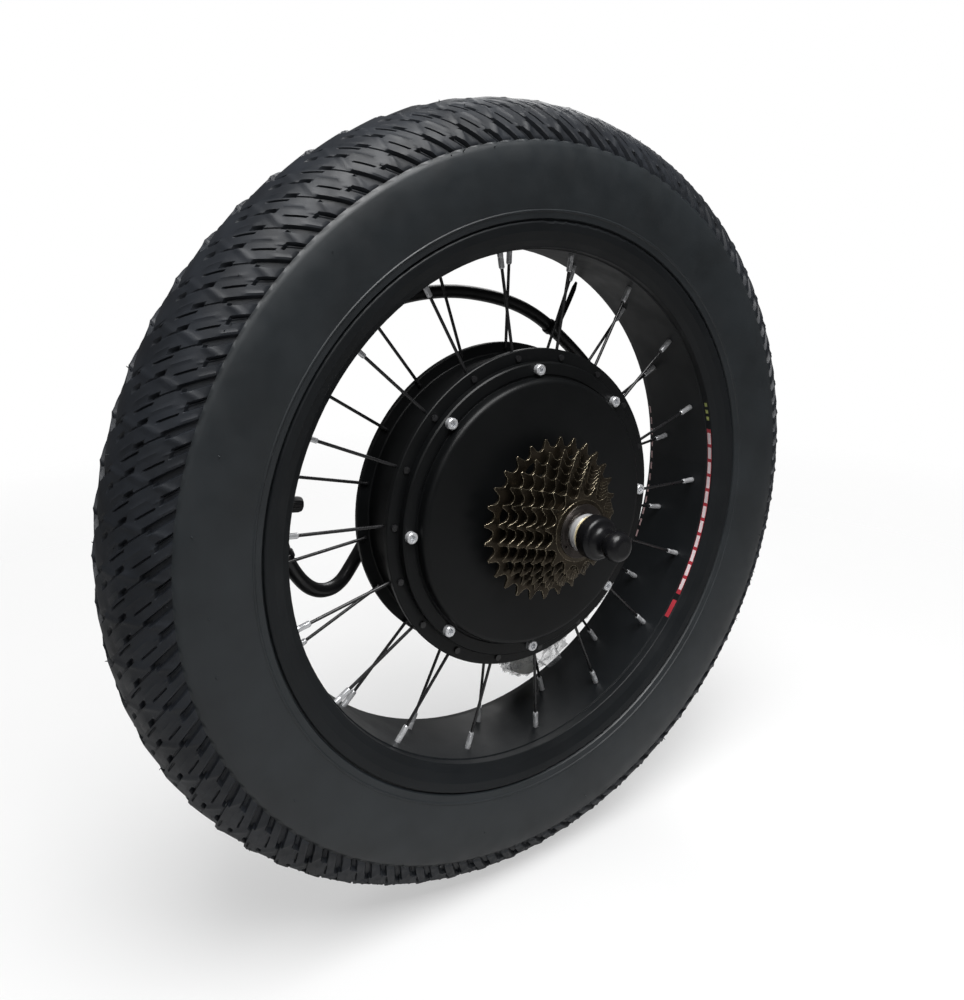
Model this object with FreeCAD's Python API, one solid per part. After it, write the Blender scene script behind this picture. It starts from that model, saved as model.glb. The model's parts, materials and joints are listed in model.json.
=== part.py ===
import FreeCAD
import Part
import math
import os
from FreeCAD import Placement, Rotation, Vector

# Hub motor wheel: a 20 x 4.0 rear wheel with a direct-drive motor in its hub and a 7-speed freewheel.
# Millimetres. The origin is the wheel's centre. +Y runs along the axle, away from the chain side,
# +X is forwards and +Z is up. Angles are measured from +X towards +Z.

# ---- rim, tyre and spokes ----
BEAD_SEAT_R = 203.0
RIM_EDGE_R = 210.0
RIM_HALF_WIDTH = 43.6
RIM_BED_R = 190.0
RIM_BED_THICKNESS = 2.2
RIM_LIP_R = 192.4
RIM_LIP_Y = 37.1
RIM_LEDGE_R = 194.8
TYRE_R = 294.5
TYRE_HALF_WIDTH = 47.2
TYRE_CORE_R = TYRE_R - TYRE_HALF_WIDTH
TREAD_THICKNESS = 5.5
SIDEWALL_THICKNESS = 3.6
TUBE_CORE_R = 243.0
TUBE_SECTION_R = 41.0
TUBE_WALL = 1.2
SPOKES_PER_SIDE = 18
DRIVE_SPOKE_ANGLE = 15.4
BRAKE_SPOKE_ANGLE = 5.4
SPOKE_R = 1.15
SPOKE_HOLE_R = 1.3
SPOKE_CIRCLE_R = 113.8
NIPPLE_Y = 16.5
NIPPLE_R = 2.2
NIPPLE_HEAD_R = 3.2
VALVE_ANGLE = 170.4
VALVE_STEM_R = 3.9
VALVE_CAP_R = 5.4
VALVE_TIP_R = 168.0

# ---- hub shell and covers ----
DRUM_R = 109.5
DRIVE_FLANGE_R = 119.3
BRAKE_FLANGE_R = 118.5
DRIVE_FACE_Y = -28.8
BRAKE_FACE_Y = 18.9
FLANGE_THICKNESS = 4.3
SHELL_BORE_R = 100.0
GASKET_THICKNESS = 0.4
COVER_R = 110.0
COVER_RIM_Y = -35.0
DOME_R = 99.2
DRIVE_DOME_Y = -43.4
BRAKE_RIM_Y = 25.0
BRAKE_DOME_Y = 33.4
COVER_WALL = 4.0
COVER_SCREWS = 8
COVER_SCREW_ANGLE = 43.5
COVER_SCREW_CIRCLE_R = 105.0
COVER_SCREW_R = 2.5
COVER_HEAD_R = 4.0
COVER_HEAD_HEIGHT = 4.0

# ---- motor ----
MAGNETS = 46
MAGNET_THICKNESS = 3.0
RING_R = 106.5
RING_THICKNESS = 5.0
STACK_Y = (-18.5, 8.5)
RING_Y = (-19.0, 9.5)
TEETH = 51
STATOR_R = 97.7
STATOR_BORE_R = 70.0
TOOTH_WIDTH = 5.0
COIL_BUILD = 2.0
COIL_OVERHANG = 4.5

# ---- axle and bearings ----
DROPOUT_WIDTH = 190.0
AXLE_CORE_R = 13.0
AXLE_SEAT_R = 10.0
AXLE_STUB_R = 7.0
AXLE_FLATS = 10.0
AXLE_BORE_R = 4.0
AXLE_DRIVE_END_Y = -124.0
AXLE_BRAKE_END_Y = 130.1
DRIVE_BEARING_Y = (-51.0, -39.0)
BRAKE_BEARING_Y = (29.0, 41.0)
BEARING_OUTER_R = 21.0
BALL_R = 3.175
BALL_CIRCLE_R = 15.5
BALLS = 9
BALL_CLEARANCE = 0.03
WASHER_THICKNESS = 3.6
LOCK_WASHER_THICKNESS = 2.6
NUT_ACROSS_FLATS = 21.0
NUT_HEIGHT = 10.4
SPACER_R = 11.5
NECK_R = 28.0
NECK_BORE_R = 14.0
DISC_FACE_Y = 75.2
SPIGOT_R = 17.4
SPIGOT_END_Y = 77.8
DISC_BOLTS = 6
DISC_BOLT_CIRCLE_R = 22.0
DISC_BOLT_R = 2.5
DISC_BOLT_ANGLE = 172.0

# ---- freewheel ----
THREAD_R = 17.35
THREAD_Y = (-66.0, -54.0)
CHAIN_PITCH = 12.7
ROLLER_SEAT_R = 4.0
COG_TEETH = (28, 24, 22, 20, 18, 16, 14)
COG_FIRST_Y = -56.0
COG_STEP = 5.0
COG_THICKNESS = 2.0
LARGE_COG_SEAT_R = 26.0
SMALL_COG_SEAT_R = 22.0
FREEWHEEL_INNER_R = 19.0
FREEWHEEL_BORE_R = 12.3
RATCHET_TEETH = 24
RATCHET_TIP_R = 21.0
RATCHET_ROOT_R = 23.0
RATCHET_FACE_ANGLE = 24.5
RATCHET_Y = (-75.5, -66.5)
PAWL_Y = (-74.5, -67.5)
PAWL_PIVOT_R = 16.6
PAWL_TIP_R = 22.1
PAWL_TIP_ANGLE = 20.0
PAWL_HEEL_R = 2.0

# ---- motor cable ----
CABLE_R = 5.2
CABLE_ANGLE = 202.3
CABLE_EXIT_Y = 85.0
CABLE_ROUTE = (
    (-5.6, 85.0, -2.3),
    (-42.0, 85.0, -17.2),
    (-78.0, 68.0, -25.0),
    (-103.5, 51.0, -42.0),
    (-122.0, 42.5, -56.0),
    (-143.5, 36.5, -52.5),
    (-160.5, 33.0, -32.0),
    (-171.0, 31.0, -4.0),
    (-170.0, 30.0, 42.0),
    (-155.0, 31.0, 88.0),
    (-124.0, 34.0, 128.0),
    (-86.0, 37.0, 152.5),
    (-31.0, 38.0, 159.0),
    (20.0, 38.0, 150.0),
    (56.0, 38.0, 135.0),
    (88.0, 38.0, 110.0),
    (118.0, 39.0, 82.0),
    (144.0, 39.0, 48.0),
    (154.0, 37.0, 2.0),
    (150.0, 34.0, -42.0),
    (138.0, 32.5, -82.0),
)
TIE_WIDTH = 4.6
TIE_THICKNESS = 1.3
TIE_TAIL = 44.0
TIE_CUT_TAIL = 7.0
LEAD_R = 1.6
CONNECTOR_R = 10.3
CONNECTOR_NECK_R = 7.0
CONNECTOR_TOP = Vector(52.0, 36.0, -122.0)
CONNECTOR_END = Vector(44.0, 37.0, -172.0)
CONTACT_R = 6.0
PLUG_R = 6.0
PLUG_START = Vector(129.0, 32.3, -104.0)
PLUG_END = Vector(109.5, 32.3, -127.0)

ORIGIN = Vector(0, 0, 0)
AXLE = Vector(0, 1, 0)
SQUARE = math.sqrt(2) / 2


# ---- helpers ----
def outline_wire(outline):
    """Closed wire in the XY plane from (radius, y) points; four numbers are an arc's middle and end."""
    here = Vector(outline[0][0], outline[0][1], 0)
    edges = []
    for step in list(outline[1:]) + [outline[0][-2:]]:
        end = Vector(step[-2], step[-1], 0)
        if len(step) == 4:
            edges.append(Part.Arc(here, Vector(step[0], step[1], 0), end).toShape())
        elif here.distanceToPoint(end) > 1e-6:
            edges.append(Part.LineSegment(here, end).toShape())
        here = end
    return Part.Wire(edges)


def outward(solid):
    """The same solid with its faces looking outwards."""
    if solid.Volume < 0:
        solid.reverse()
    return solid


def turned(outline):
    """Solid of revolution about the axle."""
    return outward(Part.Face(outline_wire(outline)).revolve(ORIGIN, AXLE, 360))


def both_sides(half):
    """Outline that runs from y = 0 out and back to y = 0, closed with its mirror image."""
    outline = list(half)
    for previous, step in zip(reversed(half[:-1]), reversed(half[1:])):
        end = (previous[-2], -previous[-1])
        outline.append((step[0], -step[1]) + end if len(step) == 4 else end)
    return outline


def ring(inner, outer, low_y, high_y):
    return turned([(inner, low_y), (outer, low_y), (outer, high_y), (inner, high_y)])


def polar(radius, degrees, y):
    angle = math.radians(degrees)
    return Vector(radius * math.cos(angle), y, radius * math.sin(angle))


def at_angle(shape, degrees):
    """Copy of a shape that was made on +X, carried round to an angle."""
    copy = shape.copy()
    copy.rotate(ORIGIN, AXLE, -degrees)
    return copy


def around(shape, count, first=0.0):
    return [at_angle(shape, first + 360.0 * i / count) for i in range(count)]


def group(solids):
    return Part.makeCompound(solids)


def rod(radius, start, end):
    return Part.makeCylinder(radius, start.distanceToPoint(end), start, end - start)


def along_y(radius, low_y, high_y, x=0.0, z=0.0):
    return Part.makeCylinder(radius, high_y - low_y, Vector(x, low_y, z), AXLE)


def prism(points, low_y, high_y):
    """Straight-sided prism along the axle over (x, z) points."""
    corners = [Vector(x, low_y, z) for x, z in points]
    face = Part.Face(Part.makePolygon(corners + corners[:1]))
    return outward(face.extrude(Vector(0, high_y - low_y, 0)))


def hexagon(across, low_y, high_y):
    corner = across / math.sqrt(3)
    points = [polar(corner, 30 + 60 * i, 0) for i in range(6)]
    return prism([(p.x, p.z) for p in points], low_y, high_y)


def sector(inner, outer, degrees, low_y, high_y):
    """Curved block centred on +X, as wide as an angle."""
    half = degrees / 2
    edges = [
        Part.Arc(polar(inner, -half, low_y), polar(inner, 0, low_y), polar(inner, half, low_y)).toShape(),
        Part.LineSegment(polar(inner, half, low_y), polar(outer, half, low_y)).toShape(),
        Part.Arc(polar(outer, half, low_y), polar(outer, 0, low_y), polar(outer, -half, low_y)).toShape(),
        Part.LineSegment(polar(outer, -half, low_y), polar(inner, -half, low_y)).toShape(),
    ]
    return outward(Part.Face(Part.Wire(edges)).extrude(Vector(0, high_y - low_y, 0)))


def bent_path(points, bend=None):
    """Wire of straight runs and tangent arcs; with no bend given, each arc is as large as its runs allow."""
    edges = []
    radii = []
    here = points[0]
    for before, corner, after in zip(points, points[1:], points[2:]):
        arrive = (corner - before).normalize()
        leave = (after - corner).normalize()
        half_turn = arrive.getAngle(leave) / 2
        shorter = min(corner.distanceToPoint(before), after.distanceToPoint(corner))
        setback = 0.45 * shorter if bend is None else bend * math.tan(half_turn)
        radius = setback / math.tan(half_turn)
        inward = (leave - arrive).normalize()
        start = corner - arrive * setback
        end = corner + leave * setback
        middle = corner + inward * (radius / math.cos(half_turn) - radius)
        edges.append(Part.LineSegment(here, start).toShape())
        edges.append(Part.Arc(start, middle, end).toShape())
        radii.append(radius)
        here = end
    edges.append(Part.LineSegment(here, points[-1]).toShape())
    return Part.Wire(edges), radii


def bent_rod(points, radius, bend=None):
    path, radii = bent_path(points, bend)
    section = Part.Face(Part.Wire([Part.makeCircle(radius, points[0], points[1] - points[0])]))
    solid = outward(path.makePipe(section))
    wanted = math.pi * radius ** 2 * path.Length
    if abs(solid.Volume / wanted - 1) > 0.002:
        raise ValueError("rod volume %.1f, wanted %.1f" % (solid.Volume, wanted))
    return solid, path.Length, radii


def save(name, shape):
    solids = shape.Solids
    if not solids or not shape.isValid() or min(s.Volume for s in solids) <= 0:
        raise ValueError("bad shape: " + name)
    if shape.ShapeType == "Compound" and len(solids) == 1:
        shape = solids[0]
    shape.exportStep("parts/%s.step" % name)
    print("%-28s %3d solids %12.1f mm3" % (name, len(solids), shape.Volume))


# ---- rim, tyre, valve and spokes ----
def spoke_line(side):
    """Side's spoke axis: where it leaves the flange's inner face and where it meets the rim bed."""
    face_y = DRIVE_FACE_Y if side < 0 else BRAKE_FACE_Y
    elbow = Vector(SPOKE_CIRCLE_R, face_y - side * (FLANGE_THICKNESS + SPOKE_R + 0.45), 0)
    return elbow, Vector(RIM_BED_R, side * NIPPLE_Y, 0)


def make_rim():
    bed_out = RIM_BED_R + RIM_BED_THICKNESS
    half = [
        (RIM_BED_R, 0),
        (RIM_BED_R, 31.0),
        (RIM_BED_R + 0.9, 31.5),
        (RIM_BED_R + 1.3, 36.2),
        (RIM_BED_R + 1.6, 37.0, RIM_LIP_R, RIM_LIP_Y + 0.3),
        (RIM_LIP_R + 4.0, 39.9),
        (BEAD_SEAT_R, 42.8),
        (RIM_EDGE_R - 2.2, RIM_HALF_WIDTH),
        (RIM_EDGE_R - 0.5, RIM_HALF_WIDTH - 0.4, RIM_EDGE_R, RIM_HALF_WIDTH - 1.6),
        (RIM_EDGE_R - 0.6, RIM_HALF_WIDTH - 2.3, RIM_EDGE_R - 1.8, RIM_HALF_WIDTH - 2.5),
        (BEAD_SEAT_R, RIM_HALF_WIDTH - 2.7),
        (BEAD_SEAT_R, 34.5),
        (BEAD_SEAT_R - 1.2, 33.2),
        (RIM_LEDGE_R, 31.8),
        (RIM_LEDGE_R, 28.0),
        (bed_out, 27.2),
        (bed_out, 0),
    ]
    rim = turned(both_sides(half))
    holes = []
    for side, first in ((-1, DRIVE_SPOKE_ANGLE), (1, BRAKE_SPOKE_ANGLE)):
        elbow, seat = spoke_line(side)
        direction = (seat - elbow).normalize()
        hole = rod(NIPPLE_R + 0.3, seat - direction * 4, seat + direction * 8)
        holes += around(hole, SPOKES_PER_SIDE, first)
    hole = rod(VALVE_STEM_R + 0.3, Vector(RIM_BED_R - 4, 0, 0), Vector(RIM_BED_R + 8, 0, 0))
    holes.append(at_angle(hole, VALVE_ANGLE))
    return rim.cut(group(holes))


def make_rim_strip():
    strip = ring(RIM_LEDGE_R, RIM_LEDGE_R + 0.6, -31.0, 31.0)
    hole = rod(VALVE_STEM_R + 0.3, Vector(RIM_BED_R, 0, 0), Vector(RIM_BED_R + 8, 0, 0))
    return strip.cut(at_angle(hole, VALVE_ANGLE))


def make_tyre():
    inner_half = TYRE_HALF_WIDTH - SIDEWALL_THICKNESS
    inner_crown = TYRE_R - TREAD_THICKNESS
    half = [
        (TYRE_R, 0),
        (TYRE_CORE_R + TYRE_HALF_WIDTH * SQUARE, TYRE_HALF_WIDTH * SQUARE, TYRE_CORE_R, TYRE_HALF_WIDTH),
        (229.0, 46.6, RIM_EDGE_R + 1.6, 43.7),
        (RIM_EDGE_R + 0.7, 41.2),
        (RIM_EDGE_R - 2.0, 40.7),
        (BEAD_SEAT_R + 0.1, 40.6),
        (BEAD_SEAT_R + 0.1, 34.8),
        (BEAD_SEAT_R + 2.5, 35.2),
        (RIM_EDGE_R + 4.0, 39.6),
        (229.0, 42.6, TYRE_CORE_R, inner_half),
        (TYRE_CORE_R + 30.2, 30.2, inner_crown, 0),
    ]
    return turned(both_sides(half))


def make_inner_tube():
    skin = Part.makeTorus(TUBE_CORE_R, TUBE_SECTION_R, ORIGIN, AXLE)
    space = Part.makeTorus(TUBE_CORE_R, TUBE_SECTION_R - TUBE_WALL, ORIGIN, AXLE)
    low = TUBE_CORE_R - TUBE_SECTION_R
    hole = rod(VALVE_STEM_R + 0.1, Vector(low - 4, 0, 0), Vector(low + 6, 0, 0))
    return skin.cut(space).cut(at_angle(hole, VALVE_ANGLE))


def make_valve():
    """Stem with its foot inside the tube, hexagon nut under the rim bed, and dust cap."""
    foot_r = TUBE_CORE_R - TUBE_SECTION_R + TUBE_WALL + 1.3
    stem = rod(VALVE_STEM_R, Vector(VALVE_TIP_R + 2, 0, 0), Vector(foot_r, 0, 0))
    foot = rod(9.0, Vector(foot_r, 0, 0), Vector(foot_r + 1.5, 0, 0))
    core_hole = rod(1.4, Vector(VALVE_TIP_R, 0, 0), Vector(foot_r + 4, 0, 0))
    stem = stem.fuse(foot).cut(core_hole).removeSplitter()
    nut = hexagon(12.0, 0, 3.0)
    nut.rotate(ORIGIN, Vector(0, 0, 1), 90)
    nut.translate(Vector(RIM_BED_R - 0.2, 0, 0))
    nut = nut.cut(rod(VALVE_STEM_R + 0.05, Vector(RIM_BED_R - 5, 0, 0), Vector(RIM_BED_R + 5, 0, 0)))
    cap = Part.makeCone(VALVE_CAP_R - 1, VALVE_CAP_R, 2.0, Vector(VALVE_TIP_R, 0, 0), Vector(1, 0, 0))
    cap = cap.fuse(rod(VALVE_CAP_R, Vector(VALVE_TIP_R + 2, 0, 0), Vector(VALVE_TIP_R + 10, 0, 0)))
    cap = cap.cut(rod(VALVE_STEM_R + 0.05, Vector(VALVE_TIP_R + 1.9, 0, 0), Vector(VALVE_TIP_R + 12, 0, 0)))
    return [at_angle(piece, VALVE_ANGLE) for piece in (stem, nut, cap.removeSplitter())]


def make_spoke(side):
    """Spoke with its head on the flange's outer face, a bend and a straight run to the nipple."""
    face_y = DRIVE_FACE_Y if side < 0 else BRAKE_FACE_Y
    elbow, seat = spoke_line(side)
    direction = (seat - elbow).normalize()
    head = Vector(SPOKE_CIRCLE_R, face_y + side * 0.3, 0)
    shank, _, _ = bent_rod([head, elbow, seat - direction * 4], SPOKE_R, 1.6)
    cap = Part.makeCylinder(2.3, 1.3, Vector(SPOKE_CIRCLE_R, face_y, 0), AXLE * side)
    return shank.fuse(cap).removeSplitter()


def make_nipple(side):
    elbow, seat = spoke_line(side)
    direction = (seat - elbow).normalize()
    top = seat + direction * (RIM_BED_THICKNESS + 0.4)
    tip = seat - direction * 13
    body = rod(NIPPLE_R, tip + direction * 1, top)
    nose = Part.makeCone(NIPPLE_R - 0.5, NIPPLE_R, 1.0, tip, direction)
    head = Part.makeCone(NIPPLE_HEAD_R, NIPPLE_HEAD_R - 0.6, 2.0, top, direction)
    bore = rod(SPOKE_R + 0.05, tip - direction, seat - direction * 3)
    return body.fuse([nose, head]).cut(bore).removeSplitter()


# ---- hub shell and covers ----
def make_hub_shell():
    drive_inner_y = DRIVE_FACE_Y + FLANGE_THICKNESS
    brake_inner_y = BRAKE_FACE_Y - FLANGE_THICKNESS
    shell = turned([
        (DRIVE_FLANGE_R - 0.6, DRIVE_FACE_Y),
        (DRIVE_FLANGE_R, DRIVE_FACE_Y + 0.6),
        (DRIVE_FLANGE_R, drive_inner_y - 0.6),
        (DRIVE_FLANGE_R - 0.6, drive_inner_y),
        (DRUM_R + 1.5, drive_inner_y),
        (DRUM_R + 0.4, drive_inner_y + 0.4, DRUM_R, drive_inner_y + 1.5),
        (DRUM_R, brake_inner_y - 1.5),
        (DRUM_R + 0.4, brake_inner_y - 0.4, DRUM_R + 1.5, brake_inner_y),
        (BRAKE_FLANGE_R - 0.6, brake_inner_y),
        (BRAKE_FLANGE_R, brake_inner_y + 0.6),
        (BRAKE_FLANGE_R, BRAKE_FACE_Y - 0.6),
        (BRAKE_FLANGE_R - 0.6, BRAKE_FACE_Y),
        (SHELL_BORE_R, BRAKE_FACE_Y),
        (SHELL_BORE_R, RING_Y[1]),
        (RING_R, RING_Y[1]),
        (RING_R, RING_Y[0]),
        (SHELL_BORE_R, RING_Y[0]),
        (SHELL_BORE_R, DRIVE_FACE_Y),
    ])
    holes = []
    for side, first in ((-1, DRIVE_SPOKE_ANGLE), (1, BRAKE_SPOKE_ANGLE)):
        face_y = DRIVE_FACE_Y if side < 0 else BRAKE_FACE_Y
        hole = along_y(SPOKE_HOLE_R, face_y - 6, face_y + 6, SPOKE_CIRCLE_R)
        screw = along_y(COVER_SCREW_R + 0.05, face_y - 8.4, face_y + 8.4, COVER_SCREW_CIRCLE_R)
        holes += around(hole, SPOKES_PER_SIDE, first)
        holes += around(screw, COVER_SCREWS, COVER_SCREW_ANGLE)
    return shell.cut(group(holes))


def drill_cover(cover, rim_y, face_y):
    low_y, high_y = min(rim_y, face_y) - 2, max(rim_y, face_y) + 2
    hole = along_y(COVER_SCREW_R + 0.25, low_y, high_y, COVER_SCREW_CIRCLE_R)
    return cover.cut(group(around(hole, COVER_SCREWS, COVER_SCREW_ANGLE)))


def make_drive_cover():
    seat_y = DRIVE_FACE_Y - GASKET_THICKNESS
    inner_y = DRIVE_DOME_Y + COVER_WALL
    cover = turned([
        (NECK_BORE_R, THREAD_Y[0]),
        (THREAD_R - 0.8, THREAD_Y[0]),
        (THREAD_R, THREAD_Y[0] + 0.8),
        (THREAD_R, THREAD_Y[1]),
        (27.0, THREAD_Y[1]),
        (29.0, DRIVE_DOME_Y),
        (DOME_R - 4.2, DRIVE_DOME_Y),
        (DOME_R - 1.2, DRIVE_DOME_Y + 1.2, DOME_R, DRIVE_DOME_Y + 4.2),
        (DOME_R, COVER_RIM_Y + 0.6),
        (DOME_R + 1.4, COVER_RIM_Y + 0.6),
        (DOME_R + 1.9, COVER_RIM_Y),
        (COVER_R - 1.0, COVER_RIM_Y),
        (COVER_R, COVER_RIM_Y + 1.0),
        (COVER_R, seat_y),
        (SHELL_BORE_R - 0.2, seat_y),
        (SHELL_BORE_R - 0.2, seat_y + 3.0),
        (SHELL_BORE_R - 4.0, seat_y + 3.0),
        (SHELL_BORE_R - 4.0, inner_y + 4.5),
        (SHELL_BORE_R - 8.5, inner_y),
        (27.0, inner_y),
        (25.5, DRIVE_BEARING_Y[1] + 0.8),
        (BEARING_OUTER_R, DRIVE_BEARING_Y[1] + 0.8),
        (BEARING_OUTER_R, DRIVE_BEARING_Y[0]),
        (NECK_BORE_R, DRIVE_BEARING_Y[0]),
    ])
    return drill_cover(cover, COVER_RIM_Y, DRIVE_FACE_Y)


def make_brake_cover():
    seat_y = BRAKE_FACE_Y + GASKET_THICKNESS
    inner_y = BRAKE_DOME_Y - COVER_WALL
    cover = turned([
        (NECK_BORE_R, SPIGOT_END_Y),
        (SPIGOT_R - 0.6, SPIGOT_END_Y),
        (SPIGOT_R, SPIGOT_END_Y - 0.6),
        (SPIGOT_R, DISC_FACE_Y),
        (NECK_R - 0.6, DISC_FACE_Y),
        (NECK_R, DISC_FACE_Y - 0.6),
        (NECK_R, BRAKE_DOME_Y + 18.0),
        (NECK_R + 3.5, BRAKE_DOME_Y + 4.6, NECK_R + 16.0, BRAKE_DOME_Y),
        (DOME_R - 4.2, BRAKE_DOME_Y),
        (DOME_R - 1.2, BRAKE_DOME_Y - 1.2, DOME_R, BRAKE_DOME_Y - 4.2),
        (DOME_R, BRAKE_RIM_Y - 0.6),
        (DOME_R + 1.4, BRAKE_RIM_Y - 0.6),
        (DOME_R + 1.9, BRAKE_RIM_Y),
        (COVER_R - 1.0, BRAKE_RIM_Y),
        (COVER_R, BRAKE_RIM_Y - 1.0),
        (COVER_R, seat_y),
        (SHELL_BORE_R - 0.2, seat_y),
        (SHELL_BORE_R - 0.2, seat_y - 3.0),
        (SHELL_BORE_R - 4.0, seat_y - 3.0),
        (SHELL_BORE_R - 4.0, inner_y - 4.5),
        (SHELL_BORE_R - 8.5, inner_y),
        (25.5, inner_y),
        (25.5, BRAKE_BEARING_Y[0] - 0.8),
        (BEARING_OUTER_R, BRAKE_BEARING_Y[0] - 0.8),
        (BEARING_OUTER_R, BRAKE_BEARING_Y[1]),
        (NECK_BORE_R, BRAKE_BEARING_Y[1]),
    ])
    cover = drill_cover(cover, BRAKE_RIM_Y, BRAKE_FACE_Y)
    bolt = along_y(DISC_BOLT_R, DISC_FACE_Y - 14, DISC_FACE_Y + 1, DISC_BOLT_CIRCLE_R)
    return cover.cut(group(around(bolt, DISC_BOLTS, DISC_BOLT_ANGLE)))


def make_gaskets():
    gaskets = []
    for low_y in (DRIVE_FACE_Y - GASKET_THICKNESS, BRAKE_FACE_Y):
        high_y = low_y + GASKET_THICKNESS
        gasket = ring(SHELL_BORE_R + 0.4, DRUM_R - 0.3, low_y, high_y)
        hole = along_y(COVER_SCREW_R + 0.3, low_y - 1, high_y + 1, COVER_SCREW_CIRCLE_R)
        gaskets.append(gasket.cut(group(around(hole, COVER_SCREWS, COVER_SCREW_ANGLE))))
    return group(gaskets)


def make_cover_screws(side):
    """Socket-head screws that stand on the cover's rim and thread into the shell."""
    under_head = COVER_RIM_Y if side < 0 else BRAKE_RIM_Y
    tip = (DRIVE_FACE_Y if side < 0 else BRAKE_FACE_Y) - side * 7.8
    shank = along_y(COVER_SCREW_R, min(tip, under_head), max(tip, under_head))
    head_top = under_head + side * COVER_HEAD_HEIGHT
    head = along_y(COVER_HEAD_R, min(under_head, head_top), max(under_head, head_top))
    edges = [e for e in head.Edges if abs(e.CenterOfMass.y - head_top) < 0.01 and e.Length > 20]
    head = head.makeChamfer(0.5, edges)
    socket = hexagon(4.0, 0, 2.6)
    socket.translate(Vector(0, head_top - 2.6 if side > 0 else head_top, 0))
    screw = head.fuse(shank).removeSplitter().cut(socket)
    screw.translate(Vector(COVER_SCREW_CIRCLE_R, 0, 0))
    return around(screw, COVER_SCREWS, COVER_SCREW_ANGLE)


# ---- motor ----
def make_stator_core():
    """Toothed lamination stack."""
    half_head = 180.0 / TEETH - 0.45
    edges = []
    last = None
    for i in range(TEETH):
        centre = 360.0 * i / TEETH

        def corner(radial, across):
            angle = centre + math.degrees(math.atan2(across, radial))
            return polar(math.hypot(radial, across), angle, STACK_Y[0])

        half = TOOTH_WIDTH / 2
        points = [
            corner(STATOR_BORE_R + 8, -half),
            corner(STATOR_R - 3.6, -half),
            polar(STATOR_R - 2.0, centre - half_head, STACK_Y[0]),
            polar(STATOR_R, centre - half_head, STACK_Y[0]),
            polar(STATOR_R, centre + half_head, STACK_Y[0]),
            polar(STATOR_R - 2.0, centre + half_head, STACK_Y[0]),
            corner(STATOR_R - 3.6, half),
            corner(STATOR_BORE_R + 8, half),
        ]
        if i == 0:
            first = points[0]
        else:
            edges.append(Part.LineSegment(last, points[0]).toShape())
        for j in range(7):
            if j == 3:
                edges.append(Part.Arc(points[3], polar(STATOR_R, centre, STACK_Y[0]), points[4]).toShape())
            else:
                edges.append(Part.LineSegment(points[j], points[j + 1]).toShape())
        last = points[7]
    edges.append(Part.LineSegment(last, first).toShape())
    blank = outward(Part.Face(Part.Wire(edges)).extrude(Vector(0, STACK_Y[1] - STACK_Y[0], 0)))
    return blank.cut(along_y(STATOR_BORE_R, STACK_Y[0] - 1, STACK_Y[1] + 1))


def make_windings():
    """One closed coil round each tooth."""
    low = STATOR_BORE_R + 9.5
    depth = STATOR_R - 4.0 - low
    half = TOOTH_WIDTH / 2 + 0.1
    length = STACK_Y[1] - STACK_Y[0] + 0.4
    over = COIL_OVERHANG
    corner = Vector(low, STACK_Y[0] - 0.2 - over, -half - COIL_BUILD)
    outer = Part.makeBox(depth, length + 2 * over, 2 * (half + COIL_BUILD), corner)
    corners = [e for e in outer.Edges if abs(e.BoundBox.XLength - depth) < 0.01]
    outer = outer.makeFillet(1.9, corners)
    opening = Part.makeBox(depth + 2, length, 2 * half, Vector(low - 1, STACK_Y[0] - 0.2, -half))
    return group(around(outer.cut(opening), TEETH))


def make_spider():
    """Light carrier between the axle and the lamination stack, with six openings."""
    middle = (STACK_Y[0] + STACK_Y[1]) / 2
    web = 3.0
    spider = turned([
        (AXLE_CORE_R, middle - 11),
        (21.0, middle - 11),
        (24.0, middle - web),
        (STATOR_BORE_R - 6, middle - web),
        (STATOR_BORE_R - 4, STACK_Y[0]),
        (STATOR_BORE_R, STACK_Y[0]),
        (STATOR_BORE_R, STACK_Y[1]),
        (STATOR_BORE_R - 4, STACK_Y[1]),
        (STATOR_BORE_R - 6, middle + web),
        (24.0, middle + web),
        (21.0, middle + 11),
        (AXLE_CORE_R, middle + 11),
    ])
    window = along_y(12.0, middle - 12, middle + 12, 44.0)
    keyway = Part.makeBox(3.0, 30, 5.0, Vector(AXLE_CORE_R - 0.5, middle - 15, -2.5))
    return spider.cut(group(around(window, 6))).cut(keyway)


def make_hall_board():
    """Arc-shaped sensor board on the end of the stack."""
    board = sector(62.0, 69.0, 60.0, STACK_Y[1] + 1.0, STACK_Y[1] + 2.6)
    return at_angle(board, 250.0)


def make_phase_leads():
    """Three wires from the coils through the axle's side slot and along its bore."""
    leads = []
    for i in range(3):
        spread = polar(1.9, 90 + 120 * i, 0)
        side_y = 17.6 + 3.2 * ((i + 1) % 3)
        points = [
            Vector(spread.x, CABLE_EXIT_Y - 8, spread.z),
            Vector(spread.x, side_y, spread.z),
            Vector(spread.x - 70.0, side_y, spread.z + 2.0 * (i - 1)),
        ]
        lead, _, _ = bent_rod(points, 1.2, 2.0)
        leads.append(lead)
    return group(leads)


def make_magnets():
    outer = RING_R - RING_THICKNESS
    pitch = 360.0 / MAGNETS
    magnet = sector(outer - MAGNET_THICKNESS, outer, pitch * 0.93, STACK_Y[0], STACK_Y[1])
    return group(around(magnet, MAGNETS))


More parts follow.
